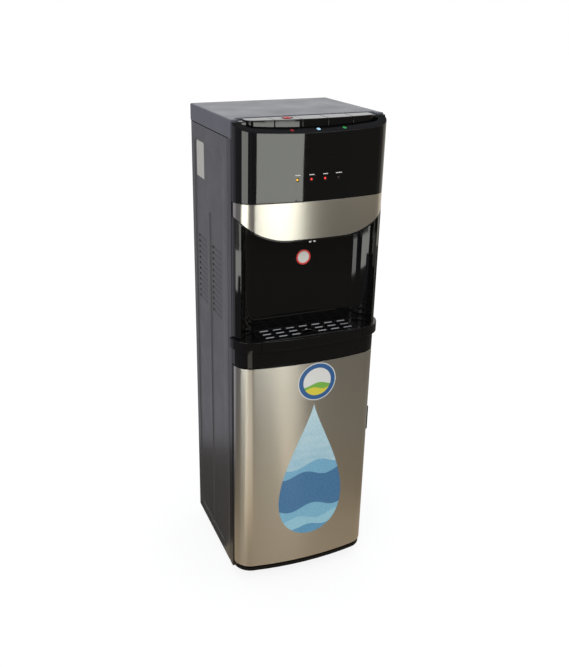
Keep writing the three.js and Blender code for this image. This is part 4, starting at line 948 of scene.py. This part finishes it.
def grid_levels():
    """The z of the sheet's grid lines."""
    _, _, z0, z1 = RECESS
    _, _, rib_top, rib_bottom = RIB
    turn = RECESS_RADIUS - 3.0
    outside = z1 + RECESS_WALL / 2
    runs = border_runs(PANEL_BOTTOM, z0, z1, outside)
    runs += [
        (z0 + turn, LOUVRE_FOOT, 60), (outside, PANEL_TOP, 8), (rib_bottom - 1.2, rib_bottom + 10, 1.2),
        (rib_top - 10, rib_top + 1.2, 0.8), (LOUVRE_TOP + 4, rib_top - 10, 20),
        (rib_top + 1.2, z1 - turn, 20),
    ]
    for i in range(LOUVRE_ROWS):
        crest = LOUVRE_TOP - i * LOUVRE_PITCH
        runs += [(crest - LOUVRE_RISE, crest - 0.05, 2), (crest - 0.05, crest, 1),
                 (crest - LOUVRE_PITCH, crest - LOUVRE_RISE, EVEN)]
    return spaced(runs)


def layered(bm, layers, holes=()):
    """A sheet between two grids of points, closed at its outline and round its holes.

    holes holds the (row, column) of every cell that stays open.
    """
    outer, inner = layers
    rows, count = len(outer), len(outer[0])

    def rim(k, m, i, j):
        bm.faces.new((outer[k][m], outer[i][j], inner[i][j], inner[k][m]))

    for grid in layers:
        for k in range(rows - 1):
            for m in range(count - 1):
                if (k, m) not in holes:
                    bm.faces.new((grid[k][m], grid[k + 1][m], grid[k + 1][m + 1], grid[k][m + 1]))
    for k, m in holes:
        for beside, ends in (((k - 1, m), (k, m, k, m + 1)), ((k + 1, m), (k + 1, m + 1, k + 1, m)),
                             ((k, m - 1), (k + 1, m, k, m)), ((k, m + 1), (k, m + 1, k + 1, m + 1))):
            if beside not in holes:
                rim(*ends)
    for k in range(rows - 1):
        rim(k, 0, k + 1, 0)
        rim(k, count - 1, k + 1, count - 1)
    for m in range(count - 1):
        rim(0, m, 0, m + 1)
        rim(rows - 1, m, rows - 1, m + 1)
    return new_object("sheet", bm)


def side_sheet(side, name, node):
    """A pressed sheet of even thickness with its two edges bent inward."""
    zs = grid_levels()
    q = math.pi / 2
    lip = HALF - RECESS_DEPTH - SHEET
    front = [(lip, SEAM)] + arc(HALF - BEND, SEAM + BEND, BEND, -q, 0, 5)
    rear = arc(HALF - BEND, SIDE_DEPTH - BEND, BEND, 0, q, 5) + [(lip, SIDE_DEPTH)]
    path = ([(p, False) for p in front[:-1]] + [((HALF, y), True) for y in grid_depths()]
            + [(p, False) for p in rear[1:]])

    def inward(k):
        """Unit normal of the plan, pointing into the cabinet."""
        before = path[max(k - 1, 0)][0]
        after = path[min(k + 1, len(path) - 1)][0]
        t = Vector((after[0] - before[0], after[1] - before[1])).normalized()
        return Vector((-t.y, t.x))

    bm = bmesh.new()
    sheets = []
    for layer in (0, SHEET):
        grid = []
        for k, (point, flat) in enumerate(path):
            n = Vector((-1, 0)) if flat else inward(k)
            px, py = point[0] + n.x * layer, point[1] + n.y * layer
            line = []
            for z in zs:
                depth = panel_depth(point[1], z) if flat else 0.0
                line.append(bm.verts.new((side * (px - depth), py, z)))
            grid.append(line)
        sheets.append(grid)
    holes = set()
    for k in range(len(path) - 1):
        if not (path[k][1] and path[k + 1][1]):
            continue
        y = (path[k][0][1] + path[k + 1][0][1]) / 2
        holes |= {(k, m) for m in range(len(zs) - 1) if louvre_mouth(y, (zs[m] + zs[m + 1]) / 2)}
    obj = smooth(layered(bm, sheets, holes), 40, weighted=False)
    finish(obj, name, MAT["side_paint"], "cabinet", [node])


side_sheet(-1, "side_sheet_left", "left_side_panel")
side_sheet(1, "side_sheet_right", "right_side_panel")

# ---------------------------------------------------------------- labels and marks

FILM = (0.04, 0.12)  # how far the two faces of a print stand off the surface under it


def stick(name, rows, place, mat, body):
    """A thin film from rows of (u, v) points, all rows of one length. place(u, v, lift) gives the point."""
    bm = bmesh.new()
    layers = [[[bm.verts.new(place(u, v, lift)) for u, v in line] for line in rows] for lift in FILM]
    film = smooth(clean(layered(bm, layers)), 50, weighted=False)
    finish(film, name, mat, body)


def on_front(u, v, lift):
    return (u, inset_y(u, 0) - lift, v)


def on_alcove(u, v, lift):
    return (u, -ALCOVE_BACK - lift, v)


def on_left_recess(u, v, lift):
    return (-HALF + RECESS_DEPTH - lift, u, v)


def on_slope(u, v, lift):
    return (u, v, slope_height(v) + lift)


def round_rows(cx, cz, radius, count=28):
    """Rows of points that fill a disc."""
    rows = []
    for i in range(count + 1):
        t = math.pi * i / count
        half = max(radius * math.sin(t), 0.02)
        rows.append([(cx + half * (2 * k / 16 - 1), cz + radius * math.cos(t)) for k in range(17)])
    return rows


def drop_half(turn):
    """Half width of the drop as a share of its widest, turn from 0 at the tip to pi at its round foot."""
    return math.sin(turn) * math.sin(turn / 2) ** 1.6 / 0.802


ALCOVE_DISC = (0.0, 732.0)
ALCOVE_DISC_RADIUS = 15.5
ALCOVE_DISC_PALE = 12.0
n = Nodes("alcove_mark_print")
rim = n.math("GREATER_THAN", n.away(*ALCOVE_DISC), ALCOVE_DISC_PALE * MM)
n.put(base_color=n.mix(rim, (0.86, 0.86, 0.84), (0.85, 0.035, 0.03)))
n.put(roughness=n.ranged(n.noise(300.0), 0.34, 0.44))
stick("alcove_mark", round_rows(*ALCOVE_DISC, ALCOVE_DISC_RADIUS), on_alcove, n.mat, "cabinet")

DISC = (12.0, 482.0)
DISC_RADIUS = 42.5
DISC_RING = (31.0, 40.5)  # inner and outer radius of the dark ring
n = Nodes("door_mark_print")
inner = n.mix(n.below_wave(DISC[1] - 6, 4.0, 95.0, 0.0), (0.78, 0.8, 0.79), (0.2, 0.5, 0.07))
inner = n.mix(n.below_wave(DISC[1] - 15, 3.0, 130.0, 1.2), inner, (0.75, 0.66, 0.06))
away = n.away(*DISC)
dark, pale = (n.math("GREATER_THAN", away, radius * MM) for radius in DISC_RING)
n.put(base_color=n.mix(pale, n.mix(dark, inner, (0.025, 0.12, 0.33)), (0.75, 0.78, 0.78)))
n.put(roughness=n.ranged(n.noise(300.0), 0.28, 0.36))
stick("door_mark", round_rows(*DISC, DISC_RADIUS, 40), on_front, n.mat, "door")

ART_X = 7.0
ART_HALF = 86.0
ART_LEVELS = (108.0, 432.0)
WAVES = (
    # level, height, radians per metre, phase, colour under the line
    (285.0, 9.0, 52.0, 0.4, (0.2, 0.48, 0.7)), (262.0, 7.0, 64.0, 2.1, (0.06, 0.2, 0.4)),
    (178.0, 8.0, 58.0, 0.9, (0.22, 0.52, 0.72)), (150.0, 6.0, 70.0, 3.0, (0.33, 0.64, 0.8)),
    (128.0, 4.0, 84.0, 1.3, (0.12, 0.36, 0.58)),
)
rows = []
for i in range(61):
    turn = math.pi * i / 60
    half = max(ART_HALF * drop_half(turn), 0.03)
    level = ART_LEVELS[1] - (ART_LEVELS[1] - ART_LEVELS[0]) * (1 - math.cos(turn)) / 2
    rows.append([(ART_X + half * (k / 10 - 1), level) for k in range(21)])
n = Nodes("door_art_print")
colour = n.mix(n.ranged(n.axis("Z"), 0.0, 1.0, 0.11, 0.43), (0.16, 0.45, 0.66), (0.5, 0.74, 0.84))
streaks = n.noise(26.0, 3.0, 0.5, n.scaled(1.0, 1.0, 2.6))
colour = n.mix(n.ranged(streaks, 0.0, 0.55), colour, (0.62, 0.82, 0.9))
for level, height, pace, phase, shade in WAVES:
    colour = n.mix(n.below_wave(level, height, pace, phase), colour, shade)
n.put(base_color=colour, roughness=n.ranged(n.noise(200.0), 0.24, 0.32))
stick("door_print", rows, on_front, n.mat, "door")

LABEL = (158.0, 938.5, 50.0, 74.0)  # front edge, top, width, height
rows = [[(LABEL[0] + LABEL[2] * k / 4, LABEL[1] - LABEL[3] * i / 4) for k in range(5)] for i in range(5)]
n = Nodes("rating_label_print")
lines = n.math("GREATER_THAN", n.math("FRACT", n.math("MULTIPLY", n.axis("Z"), 240.0)), 0.72)
n.put(base_color=n.mix(n.math("MULTIPLY", lines, 0.35), (0.56, 0.56, 0.54), (0.3, 0.3, 0.3)))
n.put(roughness=n.ranged(n.noise(200.0), 0.5, 0.6))
stick("rating_label", rows, on_left_recess, n.mat, "cabinet")

DASH_HALVES = (5.0, 5.0, 5.0, 6.5)
DASH_LEVELS = (LIGHT_LEVEL + 9.4, LIGHT_LEVEL + 7.9)
for i, (x, half) in enumerate(zip(LIGHT_X, DASH_HALVES)):
    rows = [[(x + half * (k / 4 - 1), level) for k in range(9)] for level in DASH_LEVELS]
    stick("light_dash_%d" % (i + 1), rows, on_front, MAT["label_white"], "cabinet")

KEY_MARK_Y = inset_y(0, RIM / 2) + 3.4
KEY_MARK_RADIUS = 3.8
KEY_MARKS = (
    ("hot", -1, (0.2, 0.01, 0.015)), ("cold", 0, (0.34, 0.6, 0.78)), ("room", 1, (0.02, 0.26, 0.06)),
)
for word, index, shade in KEY_MARKS:
    rows = round_rows(index * KEY_SPACING, KEY_MARK_Y, KEY_MARK_RADIUS, 14)
    n = Nodes("mark_print_" + word)
    n.put(base_color=n.mix(n.noise(500.0), shade, tuple(min(1.0, c * 1.25) for c in shade)), roughness=0.3)
    stick("key_mark_" + word, rows, on_slope, n.mat, "cabinet")

# ---------------------------------------------------------------- carried-over nodes

CARRIED = {
    "skirt_black": "base_pan",
    "satin_black": "spout_nozzle door_pull rocker_cold drain_plug water_pump",
    "rubber": "foot_front_left foot_front_right foot_rear_left foot_rear_right power_gland door_magnet",
    "side_paint": "rear_panel",
    # the pillars' near-black colour is partly painted shade of the gap beside the door
    "pillar_paint": "pillar_left pillar_right",
    "amber_lens": "indicator_1",
    "red_lens": "indicator_2 indicator_3",
    "dark_lens": "indicator_4",
    "board_green": "indicator_board key_switch_board control_board",
    "white_plastic": "valve_hot valve_cold valve_room bottle_probe",
    "hose": "probe_hose",
    "plain_steel": "mid_shelf tank_shelf hot_tank cold_tank "
                   "heating_band drain_line hinge_pin_upper hinge_pin_lower",
    "liner_black": "bay_liner",
    "black_paint": "compressor condenser",
    "copper": "evaporator_coil discharge_line suction_line filter_drier",
    "foam": "foam_front foam_rear",
    "red_plastic": "rocker_hot",
}
for mat_name, names in CARRIED.items():
    for name in names.split():
        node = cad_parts[name]
        node.data.materials.clear()
        node.data.materials.append(MAT[mat_name])
        node.data.shade_smooth()
        node.data.set_sharp_from_angle(angle=math.radians(34))

# ---------------------------------------------------------------- stage

n = Nodes("floor_white")
bm = bmesh.new()
bmesh.ops.create_grid(bm, x_segments=1, y_segments=1, size=14.0)
floor = new_object("floor", bm, scale=False)
floor.data.materials.append(n.mat)
seen = n.seen()
n.put(base_color=n.mix(seen, (0.64, 0.56, 0.47), (0.86, 0.86, 0.86)), roughness=0.9, specular_ior_level=0.0)
# white to the eye, save near the object, where its shade may show
white = n.add("Emission", color=(1, 1, 1), strength=1.04)
far = n.ranged(n.length(n.where), 0.84, 1.0, 0.24, 0.7)
shader = n.shaders(n.math("MULTIPLY", far, seen), n.bsdf, white)
n.feed(n.tree.nodes["Material Output"].inputs["Surface"], shader)

n = Nodes("world", bpy.data.worlds)
n.tree.nodes.clear()
plain = n.add("Background", color=(0.93, 0.96, 1.0), strength=0.62)
white = n.add("Background", color=(1, 1, 1), strength=1.0)
n.add("OutputWorld", surface=n.shaders(n.seen(), plain, white))
scene.world = n.mat


def glow(name, bm, colour, strength):
    """A glowing piece of the stage that only mirrors see: it lights nothing and throws no shadow."""
    n = Nodes(name)
    n.tree.nodes.clear()
    n.add("OutputMaterial", surface=n.add("Emission", color=colour, strength=strength).outputs[0])
    obj = new_object(name, bm, scale=False)
    obj.data.materials.append(n.mat)
    obj.visible_camera = obj.visible_diffuse = obj.visible_shadow = obj.visible_transmission = False


WALL_RADIUS = 2.6
CARD_RADIUS = WALL_RADIUS - 0.02  # cards that stand just before the wall
WALL_CENTRE = -0.1


def sector(name, azimuths, near, far, colour, strength):
    """A strip of a ring round the object between two (radius, height) points.

    Azimuth 0 is in front of the object and 90 to its right.
    """
    bm = bmesh.new()
    steps = max(2, int(abs(azimuths[1] - azimuths[0]) / 4))
    rings = []
    for i in range(steps + 1):
        t = math.radians(azimuths[0] + (azimuths[1] - azimuths[0]) * i / steps)
        s, c = math.sin(t), math.cos(t)
        rings.append([bm.verts.new((r * s, WALL_CENTRE - r * c, z)) for r, z in (near, far)])
    for a, b in zip(rings, rings[1:]):
        bm.faces.new((a[0], b[0], b[1], a[1]))
    glow(name, bm, colour, strength)


PALE = (0.98, 1.0, 0.93)
COOL = (0.88, 0.88, 1.0)
WARM = (1.0, 0.93, 0.8)
WOOD = (1.0, 0.82, 0.58)
WALL_BREAKS = (0.0, 0.222, 0.65, 0.8, 1.3, 2.3)
WALLS = [
    # colour, then azimuths and strength between each pair of breaks from the floor up
    ("window", PALE, ((-2, 16.4, 0.95), (-2, 17.8, 6.7), (3, 15.5, 2.6), (3, 15.5, 2.6), (3, 15.5, 2.0))),
    ("side_window", PALE, (
        (-66, -43, 0.9), (-75, -42, 5.2), (-60, -42, 2.6), (-60, -42, 2.6), (-60, -42, 2.0))),
    ("glint", PALE, ((-30, -26.5, 1.1),) + ((-31, -26, 0.3),) * 4),
    ("gap", COOL, ((-43, -2, 0.16), (-42, -2, 0.16), (-42, 3, 0.2), (-42, 3, 0.3), (-42, 3, 0.5))),
    ("left", COOL, (
        (-115, -66, 0.2), (-115, -75, 0.22), (-115, -60, 0.3), (-115, -60, 0.3), (-115, -60, 0.4))),
    ("rear_left", COOL, ((-180, -115, 0.5),) * 4 + ((-180, -115, 0.7),)),
    ("right_near", WARM, (
        (16.6, 38, 0.14), (17.8, 38, 0.14), (15.5, 38, 0.14), (15.5, 27, 1.5), (15.5, 38, 0.1))),
    ("right", WARM, ((38, 66, 0.2), (38, 66, 0.15), (38, 66, 0.16), (38, 66, 1.0), (38, 66, 1.0))),
    ("right_side", WARM, ((66, 88, 0.36), (66, 88, 0.26), (66, 88, 0.2), (66, 88, 1.0), (66, 88, 1.0))),
    ("right_far", WARM, ((88, 125, 0.8),) * 4 + ((88, 125, 1.0),)),
]
for name, colour, steps in WALLS:
    radius = WALL_RADIUS if name != "glint" else CARD_RADIUS
    for i, (left, right, strength) in enumerate(steps):
        low, high = WALL_BREAKS[i:i + 2]
        sector("wall_%s_%d" % (name, i), (left, right), (radius, low), (radius, high), colour, strength)
sector("cheek_light", (-76, -66.5), (CARD_RADIUS, 0.0), (CARD_RADIUS, 0.215), PALE, 4.5)
WINDOWS = ((-36, -8, COOL, 0.1), (-8, 14, PALE, 4.0), (14, 180, WARM, 0.14))
REAR = (-180, -115, COOL, 0.5)
LEFT = (-115, -60, COOL, 0.18)
GROUND = [
    # near and far radius, then azimuths, colour and strength of each piece
    (0.06, 0.34, ((-180, -115, WOOD, 0.06), (-115, 180, WOOD, 0.42))),
    (0.34, 0.6, ((-180, -115, WOOD, 0.06), (-115, -62, WOOD, 0.28), (-62, -19, WOOD, 0.78),
                 (-19, 4.5, WOOD, 0.4), (4.5, 15, WOOD, 0.8), (15, 180, WOOD, 0.27))),
    (0.6, 1.12, (REAR, (-115, -54, WARM, 0.2), (-54, -16, WARM, 1.15), (-16, 4.5, WARM, 0.16),
                 (4.5, 19, WARM, 0.85), (19, 180, WARM, 0.25))),
    (1.12, 1.3, (REAR, LEFT, (-60, -42, WARM, 0.14), (-42, -18, WARM, 1.6), (-18, 180, WARM, 0.14))),
    (1.3, 2.0, (REAR, LEFT, (-60, 180, WARM, 0.14))),
    (2.0, 2.2, (REAR, (-115, -76, COOL, 0.22), (-76, -66, COOL, 0.2), (-66, -36, PALE, 6.0), *WINDOWS)),
    (2.2, WALL_RADIUS, (REAR, (-115, -76, COOL, 0.22), (-76, -36, PALE, 6.0), *WINDOWS)),
]
GROUND_LEVEL = 0.004
for i, (near, far, pieces) in enumerate(GROUND):
    for k, (left, right, colour, strength) in enumerate(pieces):
        ends = (near, GROUND_LEVEL), (far, GROUND_LEVEL)
        sector("ground_%d_%d" % (i, k), (left, right), *ends, colour, strength)


def ceiling_piece(name, x, y, half, level, strength, sides=48):
    bm = bmesh.new()
    bm.faces.new([bm.verts.new((x + half * c, y + half * s, level)) for c, s in ring(0, 0, 1, sides)])
    glow(name, bm, (0.93, 0.95, 1.0), strength)


ceiling_piece("canopy", 0.0, 0.0, 2.6, 2.31, 0.12)
ceiling_piece("ceiling_lamp", 0.68, -0.9, 0.5, 2.29, 2.1, 4)


def area(name, position, target, size, power, colour):
    light = bpy.data.lights.new(name, "AREA")
    light.shape = "RECTANGLE"
    light.size, light.size_y = size
    light.energy = power
    light.color = colour
    obj = bpy.data.objects.new(name, light)
    scene.collection.objects.link(obj)
    obj.location = position
    obj.rotation_euler = (Vector(position) - Vector(target)).to_track_quat("Z", "Y").to_euler()
    obj.visible_glossy = False


area("key_light", (-1.3, -1.9, 2.6), (0, 0, 0.5), (1.6, 1.6), 34, (1.0, 0.99, 0.97))
area("top_light", (0.3, 0.3, 2.9), (0, 0, 0.5), (2.2, 2.2), 26, (0.97, 0.98, 1.0))

optics = bpy.data.cameras.new("camera")
optics.lens = 42.33
optics.sensor_width = 36.0
optics.shift_x = 0.0533
optics.shift_y = -0.0214
optics.clip_start = 0.05
camera = bpy.data.objects.new("camera", optics)
scene.collection.objects.link(camera)
axes = ((0.93875, -0.34458, 0.00316), (0.12818, 0.35770, 0.92500), (-0.31987, -0.86794, 0.37996))
turn = Matrix(axes).transposed().to_4x4()
turn.translation = Vector((-0.617769, -1.46838, 1.210925))
camera.matrix_world = turn
scene.camera = camera
bpy.context.scene.view_settings.view_transform = "Standard"
